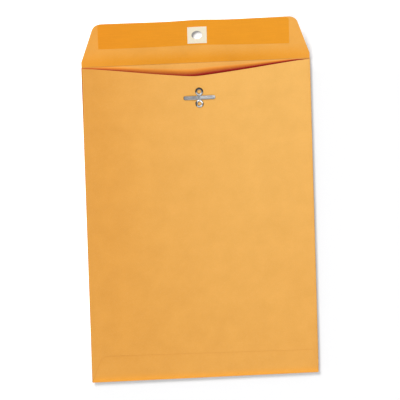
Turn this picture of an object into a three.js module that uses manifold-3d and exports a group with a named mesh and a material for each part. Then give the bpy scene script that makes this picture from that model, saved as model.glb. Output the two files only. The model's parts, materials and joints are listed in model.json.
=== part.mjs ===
// A clasp envelope in kraft paper, lying on its address side with its flap raised.
// One sheet is folded into a pocket: an address panel below, a clasp panel above with a
// V-shaped throat, a side seam strip and a bottom flap that hold the two together, and a
// closure flap with a gummed band and a punched hole. A tinplate clasp is riveted through
// the clasp panel by two hollow eyelets, and its two prongs bend up through the flap's hole.
// Millimetres. X runs to the right, Y from the bottom fold to the flap, Z up from the table.
// The origin is the centre of the address panel's underside.

import * as THREE from "three";
import { mergeVertices } from "three/addons/utils/BufferGeometryUtils.js";
import Module from "manifold-3d";

const wasm = await Module();
wasm.setup();

// Sheet
const WIDTH = 190.5; // side fold to side fold
const HEIGHT = 266.7; // bottom fold to flap crease, closed
const PAPER = 0.15;
const GLUE_FILM = 0.02;
const FOLD_GAP = 0.12; // inside the tightest fold, between address panel and strip

// Side seam strip, glued under the clasp panel along the left fold
const STRIP_WIDTH = 10.5;
const STRIP_END_SLANT = 7;
const SEAM_MARGIN = 1; // bare paper left round each line of glue

// Bottom flap, glued over the clasp panel
const SEAM_LEFT = 22.2; // height of its free edge above the bottom fold, at each end
const SEAM_RIGHT = 19.8;
const SEAM_LEFT_SLANT = 8.8;
const SEAM_RIGHT_SLANT = 3.2;
const SEAM_LEFT_RADIUS = 8;
const SEAM_RIGHT_RADIUS = 3;

// Clasp panel and its throat
const PANEL_SET_BACK = 0.6; // its free edge stops this far inside the left fold
const THROAT_DEPTH = 10.35; // vertex below the crease
const THROAT_X = -1.8;
const THROAT_ANGLE = 6.42; // degrees, slope of each side of the V
const THROAT_RADIUS = 6;
const THROAT_SHOULDER = 0.4; // the V's ends stay this far below the crease
const MOUTH_OPEN = 5.2; // how far the vertex stands off the closed position
const MOUTH_HINGE_RISE = 1; // above the bottom flap's free edge, where the bulge begins
const CROWN_HALF = 28; // half the width that stands fully open
const RIGHT_FLAT = 1.2; // flat paper beside the right fold

// Closure flap
const FLAP_LENGTH = 44.45;
const FLAP_RAISED = 30; // degrees above the table at rest
const FLAP_SIDE_RISE = 5.2; // length of side edge before the taper starts
const FLAP_TAPER = 11.6; // taken off each side at the free edge
const FLAP_CORNER = 8;
const FLAP_LEAN = -1.5; // sideways drift of the free edge, from a crease a touch off square
const CREASE_GAP = 0.02;
const CREASE_CURL = 90; // degrees of the crease's bend that the flap carries

// Gummed band and hole patch, bonded to the inside of the flap
const BOND = 0.02;
const GUM_FILM = 0.04;
const GUM_START_LEFT = 18.3; // distance from the crease at each end
const GUM_START_RIGHT = 16.4;
const GUM_EDGE = 0.4;
const GUM_HALF = 79.2;
const GUM_CORNER = 3;
const PATCH = 0.2;
const PATCH_WIDTH = 16;
const PATCH_LENGTH = 17;
const PATCH_SHIFT = 0.15; // of the patch's middle, sideways from the hole's
const HOLE_RADIUS = 4.45;
const HOLE_DISTANCE = 28.8; // from the crease
const HOLE_X = 1.5;

// Clasp
const CLASP_X = 1.65;
const CLASP_DISTANCE = 28.4; // from the crease
const METAL = 0.28;
const SEAT = 0.03; // between each piece of the clasp and what it presses on
const RING_RADIUS = 3.28;
const RING_PITCH = 10.1;
const NECK_WIDTH = 2.6;
const BRIDGE_WIDTH = 0.6;
const BRIDGE_LENGTH = 2.8;
const BRIDGE_ROUND = 0.27;

// Eyelets
const BARREL_RADIUS = 1.9;
const BARREL_BORE = 1.6;
const BARREL_PLAY = 0.08; // round the barrel, in the plate and in the paper
const HEAD_RADIUS = 3.1;
const HEAD_HEIGHT = 0.7;
const EYELET_HOLE = BARREL_RADIUS + BARREL_PLAY;
const CLINCH_RADIUS = 2.7;
const CLINCH_THICKNESS = 0.2;
const DISC_PLAY = 0.03; // round the paper disc in the barrel

// Prongs
const PRONG_WIDTH = 3.2;
const PRONG_LEFT_REACH = 13.15; // clasp centre to tip
const PRONG_RIGHT_REACH = 13.25;
const PRONG_TIP_RADIUS = 1.3;
const PRONG_BEAD = 0.24; // height of the stiffening bead pressed along the middle
const PRONG_BEAD_HALF = 0.8;
const PRONG_BEAD_START = 0.6; // distance of the bead's ends from the knuckle and from the tip
const PRONG_BEAD_RUN = 1.4; // over which the bead rises at each end
const PRONG_BOW = 0.3; // lift at mid length
const PRONG_DROOP = 0.18; // fall of the tip
const KNUCKLE_RADIUS = 0.3;
const KNUCKLE_X = 0.72; // bend line to clasp centre
const KNUCKLE_PLAY = 0.04;

// Heights of the stacked layers, worked out from the sheet
const stripBottom = PAPER + FOLD_GAP;
const stripTop = stripBottom + PAPER;
const panelBottom = stripTop + GLUE_FILM;
const panelTop = panelBottom + PAPER;
const seamFlapBottom = panelTop + GLUE_FILM;
const seamFlapTop = seamFlapBottom + PAPER;

// Outside radius and centre line of each fold
const leftTurn = stripTop / 2;
const rightTurn = panelTop / 2;
const bottomTurn = seamFlapTop / 2;
const creaseTurn = (panelTop + CREASE_GAP + PAPER) / 2;
const leftX = -WIDTH / 2 + leftTurn;
const rightX = WIDTH / 2 - rightTurn;
const bottomY = -HEIGHT / 2 + bottomTurn;
const creaseY = HEIGHT / 2 - creaseTurn;
const stopY = creaseY - creaseTurn - CREASE_GAP; // where the pocket's side folds end
const innerBottomY = bottomY + CREASE_GAP; // where the layers inside the bottom fold end

// The mouth: the crown of the clasp panel is a plane that leans up from a line above the seam
const vertexY = HEIGHT / 2 - THROAT_DEPTH;
const mouthHingeY = -HEIGHT / 2 + Math.max(SEAM_LEFT, SEAM_RIGHT) + MOUTH_HINGE_RISE;
const mouthSlope = MOUTH_OPEN / (vertexY - mouthHingeY);
const mouthAngle = Math.atan(mouthSlope);
const bulgeLeftX = -WIDTH / 2 + STRIP_WIDTH;
const bulgeRightX = rightX - RIGHT_FLAT;

// Fineness of the mesh
const OVERCUT = 1; // how far a cutting solid runs past what it cuts
const ROUND_SEGMENTS = 12; // for each curve of a plan
const SECTION_SEGMENTS = 8; // for each curve of a folded section
const PANEL_ROWS = 10;
const PRONG_ROWS = 10;
const WELD = 1e-4;

const kraft = () =>
  new THREE.MeshStandardMaterial({ color: 0xeaaa57, roughness: 0.85, metalness: 0 });
const dryGlue = () =>
  new THREE.MeshStandardMaterial({ color: 0xd9b070, roughness: 0.6, metalness: 0 });
const flapGum = () =>
  new THREE.MeshStandardMaterial({ color: 0xed9b2b, roughness: 0.4, metalness: 0 });
const patchCard = () =>
  new THREE.MeshStandardMaterial({ color: 0xf9ecd4, roughness: 0.8, metalness: 0 });
const tinplate = () =>
  new THREE.MeshStandardMaterial({ color: 0xb9bcc0, roughness: 0.35, metalness: 1 });

const radians = THREE.MathUtils.degToRad;

// A closed geometry as a solid that can be joined and cut.
function solidOf(geometry) {
  const bare = geometry.clone();
  bare.deleteAttribute("normal");
  bare.deleteAttribute("uv");
  const merged = mergeVertices(bare, WELD);
  return new wasm.Manifold(
    new wasm.Mesh({
      numProp: 3,
      vertProperties: new Float32Array(merged.attributes.position.array),
      triVerts: new Uint32Array(merged.index.array),
    }),
  );
}

// A solid as a three.js geometry with a normal for each face.
function geometryOf(solid) {
  const { vertProperties, triVerts } = solid.getMesh();
  const shared = new THREE.BufferGeometry();
  shared.setAttribute("position", new THREE.BufferAttribute(vertProperties, 3));
  shared.setIndex(new THREE.BufferAttribute(triVerts, 1));
  const geometry = shared.toNonIndexed();
  geometry.computeVertexNormals();
  return geometry;
}

// A closed outline through the given corners [x, y, radius], each rounded by an arc.
function outline(corners) {
  const shape = new THREE.Shape();
  const count = corners.length;
  corners.forEach(([x, y, radius = 0], n) => {
    const here = new THREE.Vector2(x, y);
    const before = new THREE.Vector2(...corners[(n + count - 1) % count].slice(0, 2));
    const after = new THREE.Vector2(...corners[(n + 1) % count].slice(0, 2));
    if (radius === 0) {
      if (n === 0) shape.moveTo(x, y);
      else shape.lineTo(x, y);
      return;
    }
    const back = before.sub(here).normalize();
    const ahead = after.sub(here).normalize();
    const half = Math.acos(THREE.MathUtils.clamp(back.dot(ahead), -1, 1)) / 2;
    const middle = back.clone().add(ahead).normalize();
    const centre = here.clone().addScaledVector(middle, radius / Math.sin(half));
    const first = here.clone().addScaledVector(back, radius / Math.tan(half)).sub(centre);
    const last = here.clone().addScaledVector(ahead, radius / Math.tan(half)).sub(centre);
    const clockwise = first.cross(last) < 0;
    shape.absarc(centre.x, centre.y, radius, first.angle(), last.angle(), clockwise);
  });
  shape.closePath();
  return shape;
}

// A flat plate of the given outline between two heights.
function plate(shape, from, to) {
  const options = { depth: to - from, bevelEnabled: false, curveSegments: ROUND_SEGMENTS };
  return new THREE.ExtrudeGeometry(shape, options).translate(0, 0, from);
}

// A profile drawn in (Y, Z) and carried along X.
function alongX(shape, from, to) {
  const options = { depth: to - from, bevelEnabled: false, curveSegments: SECTION_SEGMENTS };
  const turn = new THREE.Matrix4().makeBasis(
    new THREE.Vector3(0, 1, 0),
    new THREE.Vector3(0, 0, 1),
    new THREE.Vector3(1, 0, 0),
  );
  return new THREE.ExtrudeGeometry(shape, options).applyMatrix4(turn).translate(from, 0, 0);
}

// A profile drawn in (X, Z) and carried along Y.
function alongY(shape, from, to) {
  const options = { depth: to - from, bevelEnabled: false, curveSegments: SECTION_SEGMENTS };
  const turn = new THREE.Matrix4().makeBasis(
    new THREE.Vector3(1, 0, 0),
    new THREE.Vector3(0, 0, 1),
    new THREE.Vector3(0, -1, 0),
  );
  return new THREE.ExtrudeGeometry(shape, options).applyMatrix4(turn).translate(0, to, 0);
}

// The section of paper folded round a centre: a straight reach to the right, above the centre
// (side 1) or below it (side -1), and a bend of the given sweep round its left side.
function foldProfile(centre, level, radius, reach, side, sweep) {
  const start = (side * Math.PI) / 2;
  const end = start + side * sweep;
  const inner = radius - PAPER;
  const shape = new THREE.Shape();
  shape.moveTo(centre + reach, level + side * radius);
  shape.absarc(centre, level, radius, start, end, side < 0);
  shape.absarc(centre, level, inner, end, start, side > 0);
  shape.lineTo(centre + reach, level + side * inner);
  shape.closePath();
  return shape;
}

// Two matching grids of points, an outer face and an inner face, closed into one thin solid.
function thinSolid(outer, inner, columns, rows) {
  const points = [];
  const faces = [];
  for (const face of [outer, inner])
    for (let j = 0; j <= rows; j++)
      for (let i = 0; i <= columns; i++) points.push(...face(i, j));
  const layer = (columns + 1) * (rows + 1);
  const at = (side, i, j) => side * layer + j * (columns + 1) + i;
  const quad = (a, b, c, d) => faces.push(a, b, c, a, c, d);
  for (let j = 0; j < rows; j++)
    for (let i = 0; i < columns; i++) {
      quad(at(0, i, j), at(0, i + 1, j), at(0, i + 1, j + 1), at(0, i, j + 1));
      quad(at(1, i, j), at(1, i, j + 1), at(1, i + 1, j + 1), at(1, i + 1, j));
    }
  for (let i = 0; i < columns; i++) {
    quad(at(1, i, 0), at(1, i + 1, 0), at(0, i + 1, 0), at(0, i, 0));
    quad(at(1, i + 1, rows), at(1, i, rows), at(0, i, rows), at(0, i + 1, rows));
  }
  for (let j = 0; j < rows; j++) {
    quad(at(1, 0, j + 1), at(1, 0, j), at(0, 0, j), at(0, 0, j + 1));
    quad(at(1, columns, j), at(1, columns, j + 1), at(0, columns, j + 1), at(0, columns, j));
  }
  const geometry = new THREE.BufferGeometry();
  geometry.setAttribute("position", new THREE.Float32BufferAttribute(points, 3));
  geometry.setIndex(faces);
  geometry.computeVertexNormals();
  return geometry;
}

// Evenly spaced values from one end up to, and without, the other.
const spaced = (from, to, count) =>
  Array.from({ length: count }, (_, n) => from + ((to - from) * n) / count);

function addPart(parent, name, geometry, material) {
  const mesh = new THREE.Mesh(geometry, material);
  mesh.name = name;
  parent.add(mesh);
}

// Address panel: the sheet's large face, between the three folds and the crease.
function addressPanel() {
  const corners = [
    [leftX, bottomY],
    [rightX, bottomY],
    [rightX, stopY],
    [leftX, stopY],
  ];
  return plate(outline(corners), 0, PAPER);
}

// Plan of the side seam strip with its slanted ends, drawn in by a margin.
function stripOutline(outerX, margin) {
  const innerX = -WIDTH / 2 + STRIP_WIDTH - margin;
  return outline([
    [outerX, innerBottomY + margin],
    [innerX, innerBottomY + STRIP_END_SLANT + margin],
    [innerX, stopY - STRIP_END_SLANT - margin],
    [outerX, stopY - margin],
  ]);
}

// Side seam strip: folded over from the address panel's left side.
function sideSeamStrip() {
  const reach = STRIP_WIDTH - leftTurn;
  const profile = foldProfile(leftX, leftTurn, leftTurn, reach, 1, Math.PI);
  const folded = solidOf(alongY(profile, innerBottomY, stopY));
  const plan = stripOutline(-WIDTH / 2 - OVERCUT, 0);
  return geometryOf(folded.intersect(solidOf(plate(plan, -OVERCUT, stripTop + OVERCUT))));
}

function sideSeamGlue() {
  const outerX = -WIDTH / 2 + PANEL_SET_BACK + SEAM_MARGIN;
  return plate(stripOutline(outerX, SEAM_MARGIN), stripTop, panelBottom);
}

// Share of the full opening at a place across the panel: none beside the folds, whole in the
// middle, with a smooth rise between.
function crownShare(x) {
  const left = THREE.MathUtils.smoothstep(x, bulgeLeftX, -CROWN_HALF);
  const right = 1 - THREE.MathUtils.smoothstep(x, CROWN_HALF, bulgeRightX);
  return Math.min(left, right);
}

// Height that the open mouth adds to the clasp panel.
function bulge(x, y) {
  return Math.max(0, y - mouthHingeY) * mouthSlope * crownShare(x);
}

// The throat's edge: a V with a rounded vertex and short level shoulders.
function throatY(x) {
  const away = Math.abs(x - THROAT_X);
  const eased = Math.hypot(away, THROAT_RADIUS) - THROAT_RADIUS;
  const drop = THROAT_DEPTH - eased * Math.tan(radians(THROAT_ANGLE));
  return HEIGHT / 2 - Math.max(drop, THROAT_SHOULDER);
}

// Sections across the clasp panel from its free left edge to the right fold, and round it.
function panelSections() {
  const flat = [
    ...spaced(-WIDTH / 2 + PANEL_SET_BACK, bulgeLeftX, 2),
    ...spaced(bulgeLeftX, -CROWN_HALF, 14),
    ...spaced(-CROWN_HALF, CROWN_HALF, 16),
    ...spaced(CROWN_HALF, bulgeRightX, 14),
    bulgeRightX,
  ].map((x) => ({ x, turn: 0 }));
  const folded = [...spaced(0, Math.PI, 8), Math.PI].map((turn) => ({ x: rightX, turn }));
  return [...flat, ...folded];
}

// Clasp panel: the upper face of the pocket with the right fold, holed for the eyelets.
function claspPanel() {
  const sections = panelSections();
  const topY = (x) => Math.min(throatY(x), creaseY - CREASE_GAP);
  const rowY = (x, j) => {
    if (j === 0) return innerBottomY;
    return THREE.MathUtils.lerp(mouthHingeY, topY(x), (j - 1) / (PANEL_ROWS - 1));
  };
  const face = (radius) => (i, j) => {
    const { x, turn } = sections[i];
    const y = turn > 0 ? Math.min(rowY(x, j), stopY) : rowY(x, j);
    const across = x + Math.sin(turn) * radius;
    return [across, y, rightTurn + Math.cos(turn) * radius + bulge(x, y)];
  };
  const columns = sections.length - 1;
  const sheet = thinSolid(face(rightTurn), face(rightTurn - PAPER), columns, PANEL_ROWS);
  return geometryOf(eyeletPlaces().reduce(punchPanel, solidOf(sheet)));
}

// Centres of the two eyelets on the crown's plane, as distances from the clasp's centre.
const eyeletPlaces = () => [RING_PITCH / 2, -RING_PITCH / 2];

// An eyelet's hole through the clasp panel.
function punchPanel(sheet, along) {
  const hole = new THREE.Shape().absarc(0, along, EYELET_HOLE, 0, 2 * Math.PI, false);
  const punch = plate(hole, -PAPER - OVERCUT, OVERCUT).applyMatrix4(crownPlacement());
  return sheet.subtract(solidOf(punch));
}

// Where the clasp sits: on the crown's upper face, leaning with it.
function crownPlacement() {
  const y = creaseY - CLASP_DISTANCE;
  const z = panelTop + (y - mouthHingeY) * mouthSlope;
  const lean = new THREE.Quaternion().setFromAxisAngle(new THREE.Vector3(1, 0, 0), mouthAngle);
  const unscaled = new THREE.Vector3(1, 1, 1);
  return new THREE.Matrix4().compose(new THREE.Vector3(CLASP_X, y, z), lean, unscaled);
}

// Plan of the bottom flap, slanted and rounded at its ends, drawn in by a margin. It starts
// at a line inside the pocket, or below the fold, where its sides run straight up to it.
function bottomFlapOutline(startY, margin) {
  const bottom = -HEIGHT / 2;
  const right = rightX - margin;
  const left = leftX + margin;
  const belowFold = startY < bottomY;
  return outline([
    [left, startY],
    [right, startY],
    ...(belowFold ? [[right, bottomY]] : []),
    [right - SEAM_RIGHT_SLANT, bottom + SEAM_RIGHT - margin, SEAM_RIGHT_RADIUS],
    [left + SEAM_LEFT_SLANT, bottom + SEAM_LEFT - margin, SEAM_LEFT_RADIUS],
    ...(belowFold ? [[left, bottomY]] : []),
  ]);
}

// Bottom flap: folded up from the address panel and over the clasp panel.
function bottomFlap() {
  const reach = Math.max(SEAM_LEFT, SEAM_RIGHT);
  const profile = foldProfile(bottomY, bottomTurn, bottomTurn, reach, 1, Math.PI);
  const folded = solidOf(alongX(profile, leftX, rightX));
  const plan = bottomFlapOutline(-HEIGHT / 2 - OVERCUT, 0);
  return geometryOf(folded.intersect(solidOf(plate(plan, -OVERCUT, seamFlapTop + OVERCUT))));
}

function bottomSeamGlue() {
  const plan = bottomFlapOutline(bottomY + SEAM_MARGIN, SEAM_MARGIN + PANEL_SET_BACK);
  return plate(plan, panelTop, seamFlapBottom);
}

// Sideways drift of the flap at a distance from the crease.
const lean = (distance) => (FLAP_LEAN * distance) / FLAP_LENGTH;

// Plan of the closure flap, which tapers to two rounded corners.
function flapOutline() {
  const half = WIDTH / 2 - leftTurn;
  const free = half - FLAP_TAPER;
  return outline([
    [-half, -creaseTurn - OVERCUT],
    [half, -creaseTurn - OVERCUT],
    [half + lean(FLAP_SIDE_RISE), FLAP_SIDE_RISE],
    [free + lean(FLAP_LENGTH), FLAP_LENGTH, FLAP_CORNER],
    [-free + lean(FLAP_LENGTH), FLAP_LENGTH, FLAP_CORNER],
    [-half + lean(FLAP_SIDE_RISE), FLAP_SIDE_RISE],
  ]);
}

// The round hole, as a path to cut from a plan.
function holePath() {
  const centre = HOLE_X + lean(HOLE_DISTANCE);
  return new THREE.Path().absarc(centre, HOLE_DISTANCE, HOLE_RADIUS, 0, 2 * Math.PI, true);
}

const holed = (shape) => {
  shape.holes.push(holePath());
  return shape;
};

// Closure flap, laid flat beyond the crease with its bend curling back below the axis.
function closureFlap() {
  const sweep = radians(CREASE_CURL);
  const profile = foldProfile(0, 0, creaseTurn, FLAP_LENGTH + OVERCUT, -1, sweep);
  const folded = solidOf(alongX(profile, -WIDTH / 2, WIDTH / 2));
  const plan = plate(holed(flapOutline()), -creaseTurn - OVERCUT, creaseTurn + OVERCUT);
  return geometryOf(folded.intersect(solidOf(plan)));
}

// Inside face of the flap, measured from the crease's axis with the flap laid flat.
const flapFace = PAPER - creaseTurn;

function flapGumStrip() {
  const end = FLAP_LENGTH - GUM_EDGE;
  const plan = outline([
    [-GUM_HALF + lean(GUM_START_LEFT), GUM_START_LEFT],
    [GUM_HALF + lean(GUM_START_RIGHT), GUM_START_RIGHT],
    [GUM_HALF + lean(end), end, GUM_CORNER],
    [-GUM_HALF + lean(end), end, GUM_CORNER],
  ]);
  return plate(holed(plan), flapFace + BOND, flapFace + BOND + GUM_FILM);
}

function flapHolePatch() {
  const bottom = flapFace + 2 * BOND + GUM_FILM;
  const centre = HOLE_X + PATCH_SHIFT + lean(HOLE_DISTANCE);
  const plan = outline([
    [centre - PATCH_WIDTH / 2, HOLE_DISTANCE - PATCH_LENGTH / 2],
    [centre + PATCH_WIDTH / 2, HOLE_DISTANCE - PATCH_LENGTH / 2],
    [centre + PATCH_WIDTH / 2, HOLE_DISTANCE + PATCH_LENGTH / 2],
    [centre - PATCH_WIDTH / 2, HOLE_DISTANCE + PATCH_LENGTH / 2],
  ]);
  return plate(holed(plan), bottom, bottom + PATCH);
}

// Heights in the clasp's own frame, from the face of the paper
const plateBottom = SEAT;
const plateTop = plateBottom + METAL;
const knuckleZ = plateTop + KNUCKLE_PLAY + KNUCKLE_RADIUS;

// Clasp plate: two rings on a neck, with a rounded bridge that the prongs hinge against.
function claspPlate() {
  const opening = Math.asin(NECK_WIDTH / 2 / RING_RADIUS);
  const centre = RING_PITCH / 2;
  const down = -Math.PI / 2;
  const plan = new THREE.Shape();
  plan.absarc(0, centre, RING_RADIUS, down + opening, down + 2 * Math.PI - opening, false);
  plan.absarc(0, -centre, RING_RADIUS, -down + opening, -down + 2 * Math.PI - opening, false);
  plan.closePath();
  for (const y of eyeletPlaces())
    plan.holes.push(new THREE.Path().absarc(0, y, EYELET_HOLE, 0, 2 * Math.PI, true));
  const flat = solidOf(plate(plan, plateBottom, plateTop));
  return geometryOf(flat.add(solidOf(claspBridge())));
}

function claspBridge() {
  const half = BRIDGE_WIDTH / 2;
  const top = knuckleZ + KNUCKLE_RADIUS;
  const section = outline([
    [-half, plateBottom + METAL / 2],
    [half, plateBottom + METAL / 2],
    [half, top, BRIDGE_ROUND],
    [-half, top, BRIDGE_ROUND],
  ]);
  return alongY(section, -BRIDGE_LENGTH / 2, BRIDGE_LENGTH / 2);
}

// Eyelet: a hollow rivet with a domed head over the plate and a clinched rim under the paper.
function eyelet() {
  const headZ = plateTop + SEAT;
  const rimTop = -PAPER - SEAT;
  const rimBottom = rimTop - CLINCH_THICKNESS;
  const middle = (HEAD_RADIUS + BARREL_BORE) / 2;
  const half = (HEAD_RADIUS - BARREL_BORE) / 2;
  const crown = [...spaced(0, Math.PI, 10), Math.PI].map(
    (a) => new THREE.Vector2(middle + half * Math.cos(a), headZ + HEAD_HEIGHT * Math.sin(a)),
  );
  const flare = CLINCH_THICKNESS / 2;
  const profile = [
    ...crown,
    new THREE.Vector2(BARREL_BORE, rimBottom + flare),
    new THREE.Vector2(BARREL_BORE + flare, rimBottom),
    new THREE.Vector2(CLINCH_RADIUS, rimBottom),
    new THREE.Vector2(CLINCH_RADIUS, rimTop),
    new THREE.Vector2(BARREL_RADIUS, rimTop),
    new THREE.Vector2(BARREL_RADIUS, headZ),
    crown[0].clone(),
  ];
  return new THREE.LatheGeometry(profile, 36).rotateX(Math.PI / 2);
}

// The disc of paper that the eyelet cuts from the clasp panel and keeps in its barrel.
function paperDisc() {
  const disc = new THREE.Shape().absarc(0, 0, BARREL_BORE - DISC_PLAY, 0, 2 * Math.PI, false);
  return plate(disc, -PAPER, 0);
}

// Half the prong's width at a distance from its tip, which is rounded at its corners.
function prongHalf(fromTip) {
  const short = Math.max(0, PRONG_TIP_RADIUS - fromTip);
  const corner = PRONG_TIP_RADIUS - Math.sqrt(PRONG_TIP_RADIUS ** 2 - short ** 2);
  return PRONG_WIDTH / 2 - corner;
}

// Height of the prong's middle surface over its knuckle: a low bow, and the bead along it.
function prongRise(d, across, length) {
  const { smoothstep, clamp } = THREE.MathUtils;
  const share = d / length;
  const bow = PRONG_BOW * Math.sin(Math.PI * share) - PRONG_DROOP * share;
  const end = PRONG_BEAD_START + PRONG_BEAD_RUN;
  const fade =
    smoothstep(d, PRONG_BEAD_START, end) * smoothstep(length - d, PRONG_BEAD_START, end);
  const side = clamp(across / PRONG_BEAD_HALF, -1, 1);
  return bow + (PRONG_BEAD * fade * (1 + Math.cos(Math.PI * side))) / 2;
}

// Prong: a rounded tongue with a bead pressed along it, hinged at a rolled knuckle.
// It is made pointing along +X and turned round for the left side.
function prong(reach, direction) {
  const length = reach - KNUCKLE_X;
  const tip = spaced(0, Math.PI / 2, 6).map((a) => PRONG_TIP_RADIUS * (Math.sin(a) - 1) + length);
  const along = [...spaced(0, length - PRONG_TIP_RADIUS, 12), ...tip, length];
  const face = (offset) => (i, j) => {
    const d = along[i];
    const across = prongHalf(length - d) * ((2 * j) / PRONG_ROWS - 1);
    return [KNUCKLE_X + d, across, knuckleZ + prongRise(d, across, length) + offset];
  };
  const columns = along.length - 1;
  const tongue = solidOf(thinSolid(face(METAL / 2), face(-METAL / 2), columns, PRONG_ROWS));
  const roll = new THREE.Shape().absarc(KNUCKLE_X, knuckleZ, KNUCKLE_RADIUS, 0, 2 * Math.PI, false);
  const knuckle = solidOf(alongY(roll, -BRIDGE_LENGTH / 2, BRIDGE_LENGTH / 2));
  const whole = geometryOf(tongue.add(knuckle));
  return direction > 0 ? whole : whole.rotateZ(Math.PI);
}

function buildPocket() {
  const pocket = new THREE.Group();
  addPart(pocket, "address_panel", addressPanel(), kraft());
  addPart(pocket, "side_seam_strip", sideSeamStrip(), kraft());
  addPart(pocket, "side_seam_glue", sideSeamGlue(), dryGlue());
  addPart(pocket, "clasp_panel", claspPanel(), kraft());
  addPart(pocket, "bottom_seam_glue", bottomSeamGlue(), dryGlue());
  addPart(pocket, "bottom_flap", bottomFlap(), kraft());
  return pocket;
}

function buildFlap() {
  const flap = new THREE.Group();
  flap.position.set(0, creaseY, creaseTurn);
  flap.rotation.x = radians(FLAP_RAISED);
  addPart(flap, "closure_flap", closureFlap(), kraft());
  addPart(flap, "flap_gum_strip", flapGumStrip(), flapGum());
  addPart(flap, "flap_hole_patch", flapHolePatch(), patchCard());
  return flap;
}

function buildClasp() {
  const clasp = new THREE.Group();
  crownPlacement().decompose(clasp.position, clasp.quaternion, clasp.scale);
  addPart(clasp, "clasp_plate", claspPlate(), tinplate());
  const places = ["upper", "lower"];
  eyeletPlaces().forEach((y, n) => {
    addPart(clasp, `${places[n]}_eyelet`, eyelet().translate(0, y, 0), tinplate());
    addPart(clasp, `${places[n]}_paper_disc`, paperDisc().translate(0, y, 0), kraft());
  });
  addPart(clasp, "left_prong", prong(PRONG_LEFT_REACH, -1), tinplate());
  addPart(clasp, "right_prong", prong(PRONG_RIGHT_REACH, 1), tinplate());
  return clasp;
}

const envelope = new THREE.Group();
envelope.name = "clasp_envelope";
envelope.add(buildPocket(), buildFlap(), buildClasp());

export default envelope;
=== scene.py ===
"""A kraft clasp envelope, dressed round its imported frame.

Lengths below are millimetres in the frame's own axes: X across, Y from the bottom fold to
the flap, Z up from the table. Meshes are put into Blender in metres.
"""

import json
import math

import bpy
import numpy as np
from bpy.props import FloatProperty, FloatVectorProperty, PointerProperty
from mathutils import Matrix, Vector

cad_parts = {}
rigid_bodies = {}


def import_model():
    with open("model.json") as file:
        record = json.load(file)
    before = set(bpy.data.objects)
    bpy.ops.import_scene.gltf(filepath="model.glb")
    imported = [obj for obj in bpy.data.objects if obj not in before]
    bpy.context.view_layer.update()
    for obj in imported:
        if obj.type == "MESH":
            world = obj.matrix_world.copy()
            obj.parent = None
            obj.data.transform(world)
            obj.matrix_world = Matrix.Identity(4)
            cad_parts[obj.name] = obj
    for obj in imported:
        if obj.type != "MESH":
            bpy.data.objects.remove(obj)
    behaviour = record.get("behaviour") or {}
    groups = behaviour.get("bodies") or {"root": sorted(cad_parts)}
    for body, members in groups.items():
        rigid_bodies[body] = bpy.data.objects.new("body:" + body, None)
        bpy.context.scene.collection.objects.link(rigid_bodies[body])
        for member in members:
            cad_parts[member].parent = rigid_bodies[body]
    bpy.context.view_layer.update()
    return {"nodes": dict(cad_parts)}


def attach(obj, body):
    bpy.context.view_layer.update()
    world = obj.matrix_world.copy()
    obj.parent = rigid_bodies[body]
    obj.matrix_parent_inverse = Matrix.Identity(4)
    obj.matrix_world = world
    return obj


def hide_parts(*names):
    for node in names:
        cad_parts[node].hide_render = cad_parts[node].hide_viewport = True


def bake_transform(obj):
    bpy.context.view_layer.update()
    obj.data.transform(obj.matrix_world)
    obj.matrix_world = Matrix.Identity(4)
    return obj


for leftover in list(bpy.data.objects):
    bpy.data.objects.remove(leftover)

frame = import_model()

bl_info = {
    "name": "Clasp envelope",
    "version": (1, 0, 0),
    "blender": (4, 5, 0),
    "location": "3D View > Sidebar > Envelope",
    "description": "Builds the paper, gum and metal of a clasp envelope on its frame",
    "category": "Add Mesh",
}

MM = 0.001

# Sheet, as in the frame
WIDTH = 190.5
HEIGHT = 266.7
PAPER = 0.15
STRIP_WIDTH = 10.5
STRIP_END_SLANT = 7.0
STRIP_SLANT_START = 1.0  # how far outside the left fold the strip's slanted ends would start
SEAM_LEFT = 22.2
SEAM_RIGHT = 19.8
SEAM_LEFT_SLANT = 8.8
SEAM_RIGHT_SLANT = 3.2
SEAM_LEFT_RADIUS = 8.0
SEAM_RIGHT_RADIUS = 3.0

# Upper face of the clasp panel, where it lies flat
PANEL_TOP = 0.59

# Fold centre lines and outside radii
LEFT_TURN = 0.21
RIGHT_TURN = 0.295
BOTTOM_TURN = 0.38
CREASE_TURN = 0.38
LEFT_X = -WIDTH / 2 + LEFT_TURN
RIGHT_X = WIDTH / 2 - RIGHT_TURN
BOTTOM_Y = -HEIGHT / 2 + BOTTOM_TURN
CREASE_Y = HEIGHT / 2 - CREASE_TURN
CREASE_GAP = 0.02
STOP_Y = CREASE_Y - CREASE_TURN - CREASE_GAP
INNER_BOTTOM_Y = BOTTOM_Y + CREASE_GAP

# Throat and crown of the clasp panel
PANEL_SET_BACK = 0.6
VERTEX_DEPTH = 10.35  # of the throat's vertex in the frame
THROAT_DEPTH = 10.65  # and here, as the picture has it
THROAT_X = -1.9
THROAT_ANGLE = math.radians(6.42)
THROAT_RADIUS = 6.0
THROAT_SHOULDER = 0.4
THROAT_EASE = 1.3  # over which each arm of the V eases into its shoulder
MOUTH_OPEN = 5.2  # how far the vertex stands off the closed position
MOUTH_HINGE_RISE = 1.0  # above the bottom flap's free edge, where the crown begins
MOUTH_HINGE_Y = -HEIGHT / 2 + SEAM_LEFT + MOUTH_HINGE_RISE
MOUTH_SLOPE = MOUTH_OPEN / (HEIGHT / 2 - VERTEX_DEPTH - MOUTH_HINGE_Y)
MOUTH_ANGLE = math.atan(MOUTH_SLOPE)
SOFT_START = 5.0  # the crown lifts off over twice this length
CROWN_HALF = 28.0  # half the width that stands fully open
SPLIT_X = -1.8  # where the crown's two halves meet
RIGHT_FLAT = 1.2  # flat paper beside the right fold
BULGE_LEFT_X = -WIDTH / 2 + STRIP_WIDTH
BULGE_RIGHT_X = RIGHT_X - RIGHT_FLAT

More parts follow.
